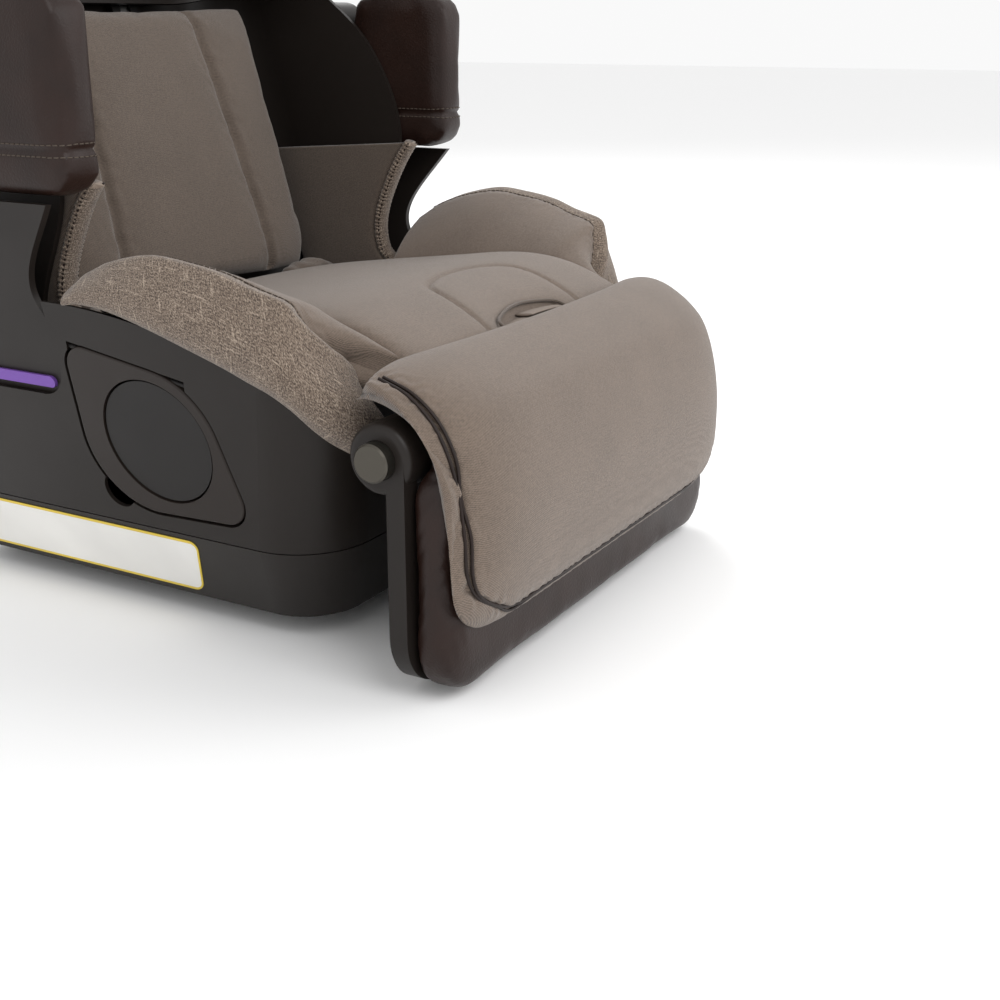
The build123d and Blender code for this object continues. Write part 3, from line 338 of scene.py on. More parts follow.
def copy_of(node, name, material, shrink=0.0):
    """Copy of a CAD solid as a new piece, drawn in a little along its normals."""
    obj = nodes[node].copy()
    obj.data = nodes[node].data.copy()
    obj.name = name
    obj.data.name = name
    obj.parent = None
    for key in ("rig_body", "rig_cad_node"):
        if key in obj:
            del obj[key]
    bpy.context.scene.collection.objects.link(obj)
    obj.data.materials.clear()
    obj.data.materials.append(material)
    bpy.ops.object.select_all(action="DESELECT")
    bpy.context.view_layer.objects.active = obj
    obj.select_set(True)
    bpy.ops.object.mode_set(mode="EDIT")
    bpy.ops.mesh.select_all(action="SELECT")
    bpy.ops.mesh.remove_doubles(threshold=0.00001)
    bpy.ops.mesh.normals_make_consistent(inside=False)
    if shrink:
        bpy.ops.transform.shrink_fatten(value=-shrink * MM)
    bpy.ops.object.mode_set(mode="OBJECT")
    return obj


# ------------------------------------------------------------------ geometry node trees
def tree_with(name, sockets):
    """New geometry node tree with the named inputs. Gives the tree and its input sockets."""
    tree = bpy.data.node_groups.new(name, "GeometryNodeTree")
    face = tree.interface
    face.new_socket(name="Geometry", in_out="INPUT", socket_type="NodeSocketGeometry")
    ids = {}
    for label, kind, value in sockets:
        socket = face.new_socket(name=label, in_out="INPUT", socket_type=kind)
        if value is not None:
            socket.default_value = value
        ids[label] = socket.identifier
    face.new_socket(name="Geometry", in_out="OUTPUT", socket_type="NodeSocketGeometry")
    start = tree.nodes.new("NodeGroupInput")
    end = tree.nodes.new("NodeGroupOutput")
    return tree, start, end, ids


def cord_tree():
    """Round cord along a line."""
    tree, start, end, ids = tree_with("Cord", [
        ("Radius", "NodeSocketFloat", 0.001), ("Material", "NodeSocketMaterial", None)])
    to_curve = tree.nodes.new("GeometryNodeMeshToCurve")
    ring = tree.nodes.new("GeometryNodeCurvePrimitiveCircle")
    ring.inputs["Resolution"].default_value = 8
    sweep = tree.nodes.new("GeometryNodeCurveToMesh")
    sweep.inputs["Fill Caps"].default_value = True
    smooth = tree.nodes.new("GeometryNodeSetShadeSmooth")
    real = tree.nodes.new("GeometryNodeRealizeInstances")
    paint = tree.nodes.new("GeometryNodeSetMaterial")
    link = tree.links.new
    link(start.outputs["Geometry"], to_curve.inputs["Mesh"])
    link(start.outputs["Radius"], ring.inputs["Radius"])
    link(to_curve.outputs["Curve"], sweep.inputs["Curve"])
    link(ring.outputs["Curve"], sweep.inputs["Profile Curve"])
    link(sweep.outputs["Mesh"], smooth.inputs["Geometry"])
    link(smooth.outputs["Geometry"], real.inputs["Geometry"])
    link(real.outputs["Geometry"], paint.inputs["Geometry"])
    link(start.outputs["Material"], paint.inputs["Material"])
    link(paint.outputs["Geometry"], end.inputs["Geometry"])
    return tree, ids


def stitch_tree():
    """Row of short stitches along a line."""
    tree, start, end, ids = tree_with("Stitches", [
        ("Pitch", "NodeSocketFloat", 0.004), ("Radius", "NodeSocketFloat", 0.0004),
        ("Length", "NodeSocketFloat", 0.0028), ("Material", "NodeSocketMaterial", None)])
    to_curve = tree.nodes.new("GeometryNodeMeshToCurve")
    spread = tree.nodes.new("GeometryNodeResampleCurve")
    spread.mode = "LENGTH"
    thread = tree.nodes.new("GeometryNodeMeshCylinder")
    thread.inputs["Vertices"].default_value = 6
    place = tree.nodes.new("GeometryNodeInstanceOnPoints")
    tangent = tree.nodes.new("GeometryNodeInputTangent")
    turn = tree.nodes.new("FunctionNodeAlignRotationToVector")
    turn.axis = "Z"
    real = tree.nodes.new("GeometryNodeRealizeInstances")
    paint = tree.nodes.new("GeometryNodeSetMaterial")
    link = tree.links.new
    link(start.outputs["Geometry"], to_curve.inputs["Mesh"])
    link(to_curve.outputs["Curve"], spread.inputs["Curve"])
    link(start.outputs["Pitch"], spread.inputs["Length"])
    link(start.outputs["Radius"], thread.inputs["Radius"])
    link(start.outputs["Length"], thread.inputs["Depth"])
    link(spread.outputs["Curve"], place.inputs["Points"])
    link(thread.outputs["Mesh"], place.inputs["Instance"])
    link(tangent.outputs["Tangent"], turn.inputs["Vector"])
    link(turn.outputs["Rotation"], place.inputs["Rotation"])
    link(place.outputs["Instances"], real.inputs["Geometry"])
    link(real.outputs["Geometry"], paint.inputs["Geometry"])
    link(start.outputs["Material"], paint.inputs["Material"])
    link(paint.outputs["Geometry"], end.inputs["Geometry"])
    return tree, ids


TREES = {}


def along_line(name, lines, kind, **values):
    """Run a tree of the given kind along each line of points in mm, and keep the plain mesh."""
    if kind not in TREES:
        TREES[kind] = {"cord": cord_tree, "stitches": stitch_tree}[kind]()
    tree, ids = TREES[kind]
    verts, edges = [], []
    for line in lines:
        first = len(verts)
        verts += [tuple(p * MM) for p in np.asarray(line, float)]
        edges += [(first + i, first + i + 1) for i in range(len(line) - 1)]
    mesh = bpy.data.meshes.new(name)
    mesh.from_pydata(verts, edges, [])
    obj = bpy.data.objects.new(name, mesh)
    bpy.context.scene.collection.objects.link(obj)
    made = obj.modifiers.new("nodes", "NODES")
    made.node_group = tree
    for label, value in values.items():
        made[ids[label.capitalize()]] = value
    bake_modifiers(obj)
    return obj


# ------------------------------------------------------------------ materials
class Shader:
    """Short way to build a procedural Principled material."""

    def __init__(self, name, colour, roughness, metallic=0.0, specular=0.5):
        self.material = bpy.data.materials.new(name)
        self.material.use_nodes = True
        self.tree = self.material.node_tree
        self.bsdf = self.tree.nodes["Principled BSDF"]
        self.bsdf.inputs["Base Color"].default_value = (*colour, 1)
        self.bsdf.inputs["Roughness"].default_value = roughness
        self.bsdf.inputs["Metallic"].default_value = metallic
        self.bsdf.inputs["Specular IOR Level"].default_value = specular
        self.material.diffuse_color = (*colour, 1)

    def node(self, kind, **links):
        """New node with its inputs linked or set."""
        made = self.tree.nodes.new(kind)
        for name, value in links.items():
            self.put(made, name.replace("_", " "), value)
        return made

    def put(self, node, name, value):
        socket = node.inputs[int(name[1:])] if name[0] == "i" and name[1:].isdigit() else node.inputs[name]
        if isinstance(value, bpy.types.NodeSocket):
            self.tree.links.new(value, socket)
        else:
            socket.default_value = value

    def math(self, operation, a, b=0.0, clamp=False):
        made = self.tree.nodes.new("ShaderNodeMath")
        made.operation = operation
        made.use_clamp = clamp
        self.put(made, "i0", a)
        self.put(made, "i1", b)
        return made.outputs[0]

    def objects(self):
        return self.tree.nodes.new("ShaderNodeTexCoord").outputs["Object"]

    def weave(self):
        made = self.tree.nodes.new("ShaderNodeUVMap")
        made.uv_map = "weave"
        return made.outputs["UV"]

    def scaled(self, vector, x, y, z):
        made = self.tree.nodes.new("ShaderNodeVectorMath")
        made.operation = "MULTIPLY"
        self.put(made, "i0", vector)
        self.put(made, "i1", (x, y, z))
        return made.outputs[0]

    def noise(self, vector, scale, detail=2.0, rough=0.5):
        made = self.node("ShaderNodeTexNoise", Vector=vector, Scale=scale, Detail=detail, Roughness=rough)
        return made.outputs["Fac"]

    def ramp(self, factor, stops):
        made = self.tree.nodes.new("ShaderNodeValToRGB")
        self.put(made, "Fac", factor)
        ramp = made.color_ramp
        ramp.elements[0].position, ramp.elements[0].color = stops[0][0], (*stops[0][1], 1)
        ramp.elements[1].position, ramp.elements[1].color = stops[-1][0], (*stops[-1][1], 1)
        for position, colour in stops[1:-1]:
            ramp.elements.new(position).color = (*colour, 1)
        return made.outputs["Color"]

    def bump(self, height, strength, distance):
        made = self.node("ShaderNodeBump", Height=height, Strength=strength, Distance=distance)
        self.tree.links.new(made.outputs["Normal"], self.bsdf.inputs["Normal"])

    def colour(self, socket):
        self.tree.links.new(socket, self.bsdf.inputs["Base Color"])

    def roughness(self, socket):
        self.tree.links.new(socket, self.bsdf.inputs["Roughness"])


def tint(colour, factor):
    return tuple(min(1.0, c * factor) for c in colour)


def plastic(name, colour, roughness, grain=0.25):
    """Moulded plastic with a fine spark-eroded grain and faint handling marks."""
    s = Shader(name, colour, roughness, specular=0.24)
    place = s.objects()
    s.colour(s.ramp(s.noise(place, 9, 3), [(0.3, tint(colour, 0.9)), (0.7, tint(colour, 1.1))]))
    fine = s.noise(place, 1500, 2)
    s.bump(fine, grain, 0.00012)
    worn = s.math("MULTIPLY", s.noise(place, 22, 4), 0.16)
    s.roughness(s.math("ADD", worn, roughness - 0.08))
    return s.material


def knit(name, colour, pitch=1.25):
    """Fine jersey: two crossing sets of ribs, with a soft nap."""
    s = Shader(name, colour, 0.92)
    place = s.objects()
    warped = s.node("ShaderNodeMixRGB", Fac=0.0012, Color1=place,
                    Color2=s.node("ShaderNodeTexNoise", Vector=place, Scale=60.0).outputs["Color"]).outputs[0]
    ribs = []
    for turn in ((1.0, 1.0, 1.0), (1.0, -1.0, 0.6)):
        made = s.tree.nodes.new("ShaderNodeVectorMath")
        made.operation = "DOT_PRODUCT"
        s.put(made, "i0", warped)
        s.put(made, "i1", turn)
        phase = s.math("MULTIPLY", made.outputs["Value"], 2 * math.pi / (pitch * MM))
        ribs.append(s.math("SINE", phase))
    both = s.math("MULTIPLY", s.math("ADD", ribs[0], ribs[1]), 0.25)
    nap = s.noise(place, 700, 3, 0.6)
    height = s.math("ADD", both, nap)
    broad = s.noise(place, 26, 3)
    tone = s.math("ADD", s.math("MULTIPLY", height, 0.75), s.math("MULTIPLY", broad, 0.2))
    s.colour(s.ramp(tone, [(0.15, tint(colour, 0.5)), (0.46, colour), (0.8, tint(colour, 1.5))]))
    s.bump(height, 0.6, 0.0004)
    s.bsdf.inputs["Sheen Weight"].default_value = 0.25
    s.bsdf.inputs["Sheen Roughness"].default_value = 0.5
    return s.material


def linen(name, dark, middle, light, pitch=1.15, mapped=True):
    """Melange plain weave: uneven threads each way, with pale slubs."""
    s = Shader(name, middle, 0.95)
    if mapped:
        place = s.weave()
    else:
        turned = s.node("ShaderNodeMapping", Vector=s.objects(), Rotation=(0.6, 0.5, 0.7))
        place = turned.outputs["Vector"]
    per = 1 / (pitch * MM)
    warp = s.noise(s.scaled(place, per * 0.8, 110, 1), 1.0, 2, 0.65)
    weft = s.noise(s.scaled(place, 110, per * 0.8, 1), 1.0, 2, 0.65)
    cell = s.noise(s.scaled(place, per * 1.1, per * 1.1, 1), 1.0, 1, 0.7)
    slub_a = s.noise(s.scaled(place, per * 0.5, 45, 1), 1.0, 1)
    slub_b = s.noise(s.scaled(place, 45, per * 0.5, 1), 1.0, 1)
    slub = s.math("MAXIMUM", slub_a, slub_b)
    slub = s.math("MULTIPLY", s.math("SUBTRACT", slub, 0.64, clamp=True), 2.2)
    threads = s.math("MULTIPLY", s.math("ADD", warp, weft), 0.5)
    tone = s.math("ADD", s.math("MULTIPLY", threads, 0.7), s.math("MULTIPLY", cell, 1.15))
    tone = s.math("ADD", s.math("SUBTRACT", tone, 0.42), slub)
    s.colour(s.ramp(tone, [(0.3, dark), (0.5, middle), (0.82, light)]))
    s.bump(s.math("ADD", cell, threads), 0.8, 0.0006)
    s.bsdf.inputs["Sheen Weight"].default_value = 0.2
    return s.material


def leather(name, colour, roughness=0.42):
    """Pebbled coated fabric."""
    s = Shader(name, colour, roughness, specular=0.28)
    place = s.objects()
    cells = s.node("ShaderNodeTexVoronoi", Vector=place, Scale=620.0)
    cells.feature = "SMOOTH_F1"
    grain = s.math("ADD", cells.outputs["Distance"], s.noise(place, 900, 2))
    s.colour(s.ramp(s.noise(place, 30, 4), [(0.3, tint(colour, 0.82)), (0.7, tint(colour, 1.18))]))
    s.bump(grain, 0.42, 0.0003)
    s.roughness(s.math("ADD", s.math("MULTIPLY", s.noise(place, 40, 3), 0.2), roughness - 0.1))
    return s.material


def metal(name, colour, roughness):
    """Cast or drawn metal with fine scratches."""
    s = Shader(name, colour, roughness, 0.95)
    place = s.objects()
    fine = s.noise(s.scaled(place, 400, 2600, 2600), 1.0, 3)
    s.bump(fine, 0.12, 0.0001)
    s.roughness(s.math("ADD", s.math("MULTIPLY", fine, 0.2), roughness - 0.1))
    return s.material


def webbing(name, colour, pitch=1.6):
    """Narrow woven strap."""
    s = Shader(name, colour, 0.8)
    place = s.objects()
    lines = s.node("ShaderNodeTexWave", Vector=place, Scale=0.314 / (pitch * MM), Distortion=0.6)
    height = s.math("ADD", lines.outputs["Fac"], s.math("MULTIPLY", s.noise(place, 900, 2), 0.6))
    s.colour(s.ramp(height, [(0.2, tint(colour, 0.7)), (0.9, tint(colour, 1.2))]))
    s.bump(height, 0.5, 0.0004)
    return s.material


def build_materials():
    shell = (0.0140, 0.0108, 0.0092)
    taupe = (0.138, 0.103, 0.079)
    return {
        "shell": plastic("shell_plastic", shell, 0.42),
        "cup": plastic("cup_plastic", (0.0190, 0.0138, 0.0115), 0.4),
        "disc": plastic("disc_plastic", (0.0135, 0.0118, 0.0112), 0.45, 0.35),
        # Dark plastic of the inner parts; on the steel cup hinge pins it is painted shade.
        "inner": plastic("inner_plastic", (0.012, 0.0105, 0.0100), 0.5),
        "rubber": plastic("foot_rubber", (0.012, 0.012, 0.012), 0.75, 0.5),
        "purple": plastic("belt_purple", (0.17, 0.075, 0.36), 0.42, 0.15),
        "red": plastic("button_red", (0.42, 0.02, 0.015), 0.35, 0.1),
        "label": plastic("label_film", (0.78, 0.77, 0.74), 0.35, 0.05),
        "label_edge": plastic("label_edge", (0.72, 0.53, 0.06), 0.4, 0.05),
        "steel": metal("steel", (0.42, 0.41, 0.40), 0.32),
        "cap": metal("cap_metal", (0.085, 0.078, 0.066), 0.38),
        "knit": knit("knit_fabric", taupe),
        # Darker copy of the seat knit, painted shade: it dresses the back, the side pads, the crease folds
        # and the slot's binding, which sit in shade.
        "knit_back": knit("knit_back", tint(taupe, 0.68)),
        "linen": linen("linen_fabric", (0.042, 0.028, 0.020), (0.142, 0.104, 0.078), (0.34, 0.275, 0.215)),
        "linen_object": linen("linen_turned", (0.042, 0.028, 0.020), (0.142, 0.104, 0.078),
                              (0.34, 0.275, 0.215), mapped=False),
        "leather": leather("leatherette", (0.0160, 0.0066, 0.0045)),
        "strap": webbing("strap_webbing", (0.17, 0.135, 0.11)),
        "piping": leather("piping_leatherette", (0.0125, 0.0058, 0.0040), 0.5),
        "thread": plastic("sewing_thread", (0.075, 0.058, 0.046), 0.8, 0.2),
    }


MATERIALS = build_materials()


def finish_piece(obj, body, replaced=()):
    """Attach a finished piece to its body and hide the CAD nodes it replaces."""
    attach(obj, body)
    if replaced:
        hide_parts(*replaced)
    return obj


# ------------------------------------------------------------------ hard parts
NODE_FINISH = {
    "shell": ("base_tub", "seat_shell", "side_frame_right", "side_frame_left", "backrest_shell",
              "rear_deck", "wing_frame_right", "wing_frame_left", "calf_frame", "headrest_shell"),
    "cup": ("cup_ring_right", "cup_ring_left"),
    "disc": ("cup_shelf_right", "cup_shelf_left"),
    "inner": ("base_sole", "seat_pan", "rear_cover", "calf_brackets", "rail_guides", "anchor_guides",
              # The cup hinge pins are steel; this dark plastic on them is painted shade that keeps the gaps
              # round them dark.
              "calf_panel", "recline_foot", "height_lever", "cup_hinge_pins_right", "cup_hinge_pins_left"),
    "rubber": ("rubber_feet",),
    "steel": ("recline_pin", "calf_shaft",
              "button_spring_right", "button_spring_left", "headrest_rails", "lever_pin",
              "anchor_arm_right", "anchor_arm_left", "cover_screws", "frame_screws"),
    "cap": ("calf_button_right", "calf_button_left"),
    "purple": ("belt_guide_right", "belt_guide_left"),
    "red": ("anchor_button_right", "anchor_button_left"),
    "label": ("care_label",),
    "strap": ("crotch_strap",),
}


def paint_hard_parts():
    for finish, names in NODE_FINISH.items():
        for name in names:
            mesh = nodes[name].data
            mesh.materials.clear()
            mesh.materials.append(MATERIALS[finish])


# ------------------------------------------------------------------ bolsters
# Stations from the rear: place, height of the lower edge and of the ridge. The place is Y along
# the straight side, then the angle round the front corner.
SIDE_STATIONS = ((0, 228, 240), (-6, 229, 244), (-14, 230, 249), (-37, 228, 258), (-67, 220, 264),
                 (-94, 211, 262), (-120, 202, 257.5), (-141, 193.5, 250.5))
CORNER_STATIONS = ((12, 187, 244), (27, 177, 235.5), (40, 165, 227), (52, 155, 220), (64, 147, 213),
                   (76, 140, 207), (88, 136, 200))


def outline_point(place, z, inset):
    """Point on the shell's outer form at a station (kind, value), drawn in by inset."""
    kind, value = place
    if kind == "side":
        return np.array((-(side_x(z) - inset), value, z))
    angle = math.radians(value)
    reach = CORNER - inset
    return np.array((-(side_x(z) - CORNER) - reach * math.cos(angle),
                     front_y(z) + CORNER - reach * math.sin(angle), z))


def bolster_sections(ridge_inset, bulge):
    """Outer and inner closed sections of the right bolster, rear to front."""
    places = [(("side", y), low, top) for y, low, top in SIDE_STATIONS]
    places += [(("corner", a), low, top) for a, low, top in CORNER_STATIONS]
    outer, inner = [], []
    for place, low, top in places:
        rise = top - low
        at = lambda z, inset: outline_point(place, z, inset)
        swell = min(1.0, rise / 40)
        if place[0] == "corner":
            swell *= 1 + place[1] / 62
        section = through([
            at(low + 0.4, 1.5), at(low + 0.2, -0.6), at(low + 0.16 * rise, -bulge * swell * 0.9),
            at(low + 0.45 * rise, -bulge * swell * 1.1 + 3), at(low + 0.78 * rise, ridge_inset * 0.42),
            at(top - 0.03 * rise, ridge_inset * 0.78), at(top, ridge_inset),
            at(top - 0.03 * rise, ridge_inset + 6), at(top - 2.2 - 0.03 * rise, ridge_inset + 11)], 34)
        under = through([section[-1] + np.array((0, 0, -4.0)), at(low + 0.5 * rise, ridge_inset + 2),
                         at(low + 0.16 * rise, 4.0), section[0] + np.array((0, 0, 0.3))], 14)[1:-1]
        outer.append(np.vstack([section, under]))
        value = place[1]
        if place[0] == "side":
            foot = np.array((-146.0, value, cushion_height(146, value) - 7))
        else:
            foot = np.array((-146.0, -141 - value * 0.78, cushion_height(146, -141 - value * 0.78) - 7))
        seam = section[-2]
        lift = np.array((0.35, -0.1, 0.93)) * bulge
        skin = through([seam + np.array((0, 0, -2.4)), seam * 0.97 + foot * 0.03 + lift * 0.25,
                        seam * 0.7 + foot * 0.3 + lift * 0.9, seam * 0.4 + foot * 0.6 + lift * 1.05,
                        seam * 0.12 + foot * 0.88 + lift * 0.6, foot], 26)
        back = through([foot + np.array((-4.0, 0, -9.0)), (seam + foot) / 2 + np.array((-3.0, 0, -13.0)),
                        seam + np.array((-3.0, 0, -9.0))], 12)
        inner.append(np.vstack([skin, back]))
    return fine_rows(outer, 110), fine_rows(inner, 110)


def fine_rows(rings, rows):
    """Resample a stack of rings smoothly along its length."""
    rings = np.asarray(rings)
    lines = [through(rings[:, j], rows) for j in range(rings.shape[1])]
    return np.stack(lines, axis=1)


def mirrored(points):
    return np.asarray(points) * np.array((-1.0, 1.0, 1.0))


def build_bolsters(settings):
    outer, inner = bolster_sections(settings.ridge_inset / MM, settings.bulge / MM)
    seam = outer[:, 32] + np.array((0, 0, 0.8))
    for side, turn in (("right", lambda p: p), ("left", mirrored)):
        skin = loft(f"bolster_linen_{side}", turn(rounded_ends(outer, 3.0)), MATERIALS["linen"])
        wrinkle(skin, [turn(seam)], 7.0, 0.35, 7.0, 0.4)
        finish_piece(skin, "seat", [f"bolster_cover_{side}"])
        panel = loft(f"bolster_inner_{side}", turn(rounded_ends(inner, 5.0)), MATERIALS["knit"])
        wrinkle(panel, [turn(seam)], 9.0, 0.5, 8.0, 1.1)
        finish_piece(panel, "seat", ())
        row = along_line(f"bolster_stitches_{side}", [turn(respaced(seam[6:-10], 90))], "stitches",
                         pitch=0.0042, radius=0.0004, length=0.003, material=MATERIALS["thread"])
        finish_piece(row, "seat")


# ------------------------------------------------------------------ seat cushion
CUSHION_PROFILE = np.array(((86, 186), (76, 193), (40, 200), (0, 206), (-45, 212), (-90, 218), (-120, 222),
                            (-150, 223), (-178, 218), (-205, 208), (-220, 201), (-228, 192)), float)


def cushion_height(x, y):
    """Top of the seat cushion."""
    line = CUSHION_PROFILE[::-1]
    base = np.interp(y, line[:, 0], line[:, 1])
    return base + 4 * (1 - (np.abs(x) / 150) ** 2)


def fold_y(x):
    """Where the cushion meets the flap."""
    return -223 + 16 * (np.minimum(np.abs(x), 160) / 160) ** 2


SHIELD = ((-60, -224), (-57, -205), (-52, -180), (-47, -164), (-40, -157), (-20, -150), (5, -147),
          (30, -149), (52, -156), (64, -166), (68, -185), (68, -205), (66, -224))
SLOT_ARC = ((-44, -219), (-40, -212), (-20, -206), (0, -204), (20, -206), (40, -211), (45, -218))


def on_cushion(points, lift=0.0):
    return np.array([(x, y, cushion_height(x, y) + lift) for x, y in points])


def build_cushion(settings):
    a = eased(150)
    profile = through(CUSHION_PROFILE, 150)
    ys = profile[:, 0]
    zs = profile[:, 1]
    half = settings.width / 2 / MM
    power = 7
    grid_a, grid_b = np.meshgrid(a, np.linspace(-1, 1, 150))
    shape = edge_shape(grid_a, grid_b, power)
    x = grid_a * half
    y = np.repeat(ys[:, None], 150, axis=1)
    top = np.repeat(zs[:, None], 150, axis=1) + 4 * (1 - (np.abs(x) / 150) ** 2)
    middle = top - 20
    up = np.stack([x, y, middle + 20 * shape], axis=2)
    floor = 160 + 18 * np.clip((-185 - y) / 30, 0, 1)
    down = np.stack([x * 0.995, y, np.maximum(middle - 16 * shape, floor)], axis=2)
    cushion = slab("seat_cushion_knit", up, down, MATERIALS["knit"])
    puff(cushion, 0.004, settings.swell / MM * 0.5)
    shield = through(on_cushion(SHIELD), 120)
    sink_seams(cushion, [shield], 2.6, 1.9, np.array((0, 0, 1.0)))
    arc = through(on_cushion(SLOT_ARC), 60)
    mouth = [arc + np.array((0, shift, -0.2 * abs(shift))) for shift in (-2, -5, -8, -11, -14)]
    sink_seams(cushion, mouth, 7.0, 3.0, np.array((0, 0, 1.0)))
    finish_piece(cushion, "seat", ["seat_cushion", "cushion_insert", "front_roll"])
    lip = along_line("slot_binding", [arc + np.array((0, -0.5, -0.6))], "cord", radius=0.0012,
                     material=MATERIALS["knit_back"])
    finish_piece(lip, "seat")
    build_strap()


def build_strap():
    """Crotch strap end folded flat in its slot."""
    layers = []
    for start, height in ((-36, 199.5), (-30, 203.0), (-6, 206.0)):
        for shift, drop in ((0.0, 0.0),):
            section = []
            for x in np.linspace(start, 38, 26):
                section.append((x, -213 + shift, height - 1.6 * (x / 38) ** 2 - drop))
            layers.append(np.array(section))
    for number, line in enumerate(layers):
        rings = []
        for p in line:
            w, t = 7.0, 1.3
            ring = [(p[0], p[1] + w * math.cos(k), p[2] + t * math.sin(k) - 0.12 * w * math.cos(k))
                    for k in np.linspace(0, 2 * math.pi, 20, endpoint=False)]
            rings.append(ring)
        piece = loft(f"strap_layer_{number + 1}", rounded_ends(rings, 1.2), MATERIALS["strap"])
        finish_piece(piece, "seat", ["crotch_strap"] if number == 0 else ())


# ------------------------------------------------------------------ flap over the calf support
FLAP_MIDDLE = ((-203, 199), (-209, 205), (-220, 208.5), (-233, 208.5), (-248, 204), (-266, 194), (-280, 180),
               (-290, 155), (-295, 125), (-294, 92), (-289, 62), (-280, 47), (-274.5, 43))
FLAP_EDGE = ((-214, 192), (-215, 197), (-218.5, 200.5), (-228, 197), (-238, 190), (-248, 180), (-257, 166),
             (-263, 148), (-267.5, 125), (-272, 100), (-275.5, 72), (-275, 52), (-274.2, 45))
FLAP_BACK = ((-209, 189), (-216, 190), (-226, 188.5), (-236, 185), (-246, 179.5), (-255, 171), (-262, 161.5),
             (-268, 152), (-273, 138), (-273.4, 110), (-273.4, 80), (-273.4, 56), (-273.4, 46))


def flap_surface(s_count, x_values, half):
    """Grids of the flap's outer and inner faces, from the fold down to its lower edge."""
    middle = through(FLAP_MIDDLE, s_count)
    edge = through(FLAP_EDGE, s_count)
    back = through(FLAP_BACK, s_count)
    s = np.linspace(0, 1, s_count)
    w = (np.abs(x_values) / half) ** 9
    face = middle[:, None] * (1 - w)[None, :, None] + edge[:, None] * w[None, :, None]
    near_fold = np.exp(-(s / 0.09) ** 2)[:, None]
    face[:, :, 0] += near_fold * (fold_y(x_values) + 207)[None, :]
    inside = np.repeat(back[:, None], len(x_values), axis=1)
    inside[:, :, 0] += near_fold * (fold_y(x_values) + 207)[None, :] * 0.8
    corner = 46.0
    length = np.linalg.norm(np.diff(middle, axis=0), axis=1).sum()
    left = (1 - s) * length
    pull = np.zeros_like(s)
    inside_corner = left < corner
    pull[inside_corner] = corner - np.sqrt(corner ** 2 - (corner - left[inside_corner]) ** 2)
    xs = x_values[None, :] * (1 - pull[:, None] / half)
    outer = np.dstack([xs, face])
    inner = np.dstack([xs, inside])
    return outer, inner


def build_flap(settings):
    half = settings.width / 2 / MM
    rows, cols = 170, 180
    a = eased(cols)
    outer, inner = flap_surface(rows, a * half, half)
    shut = edge_shape(np.repeat(a[None, :], rows, axis=0), np.zeros((rows, cols)), 26)[:, :, None]
    centre = (outer * 0.45 + inner * 0.55)
    outer = centre + (outer - centre) * shut
    inner = centre + (inner - centre) * shut
    flap = slab("calf_flap_knit", outer, inner, MATERIALS["knit"])
    inset = settings.border / MM
    half_in = half - inset
    grid, _ = flap_surface(240, np.array([-half_in]), half)
    side = grid[:, 0]
    keep = respaced(side[18:204], 150)
    low_row = 226
    xs = np.linspace(-1, 1, 160)
    corner_rows, _ = flap_surface(240, xs * half_in, half)
    bottom = corner_rows[low_row]
    left_side = keep
    right_side = keep * np.array((-1.0, 1.0, 1.0))
    trimmed = bottom[(np.abs(bottom[:, 0]) < half_in - 42)]
    whole = np.vstack([left_side[:-1], trimmed, right_side[::-1][1:]])
    whole = through(whole[::6], 420)
    sink_seams(flap, [whole], 2.4, 2.2)
    wrinkle(flap, [whole], 9.0, 0.55, 8.5, 2.0)
    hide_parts("calf_flap")
    pieces = [flap]
    centre_of = np.array((0.0, -238.0, 120.0))
    for number, shift in enumerate((-1.25, 1.25)):
        out = whole - centre_of
        out[:, 0] *= 0.12
        out /= np.linalg.norm(out, axis=1)[:, None]
        tangent = np.gradient(whole, axis=0)
        tangent /= np.linalg.norm(tangent, axis=1)[:, None]
        across = np.cross(out, tangent)
        line = on_surface(flap, [whole + across * shift], settings.piping / MM * 0.5)[0]
        line = through(line[::14], 420)
        cord = along_line(f"flap_piping_{number + 1}", [line], "cord", radius=settings.piping,
                          material=MATERIALS["piping"])
        pieces.append(cord)
    for piece in pieces:
        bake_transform(piece)


# ------------------------------------------------------------------ calf pad
def build_calf_pad(settings):
    pad = copy_of("calf_pad", "calf_pad_leather", MATERIALS["leather"], settings.swell / MM * 0.6)
    puff(pad, 0.004, settings.swell / MM)
    low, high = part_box("calf_pad")
    x, y = high[0] / MM, low[1] / MM
    rim = [np.array(((x - 7) * side, y + 14, z)) for side in (-1,) for z in (140, 100, 60, 36)]
    loop = through(np.array(rim), 60)
    wrinkle(pad, [loop, mirrored(loop)], 16.0, 0.5, 9.0, 0.7)
    finish_piece(pad, "calf_support", ["calf_pad"])


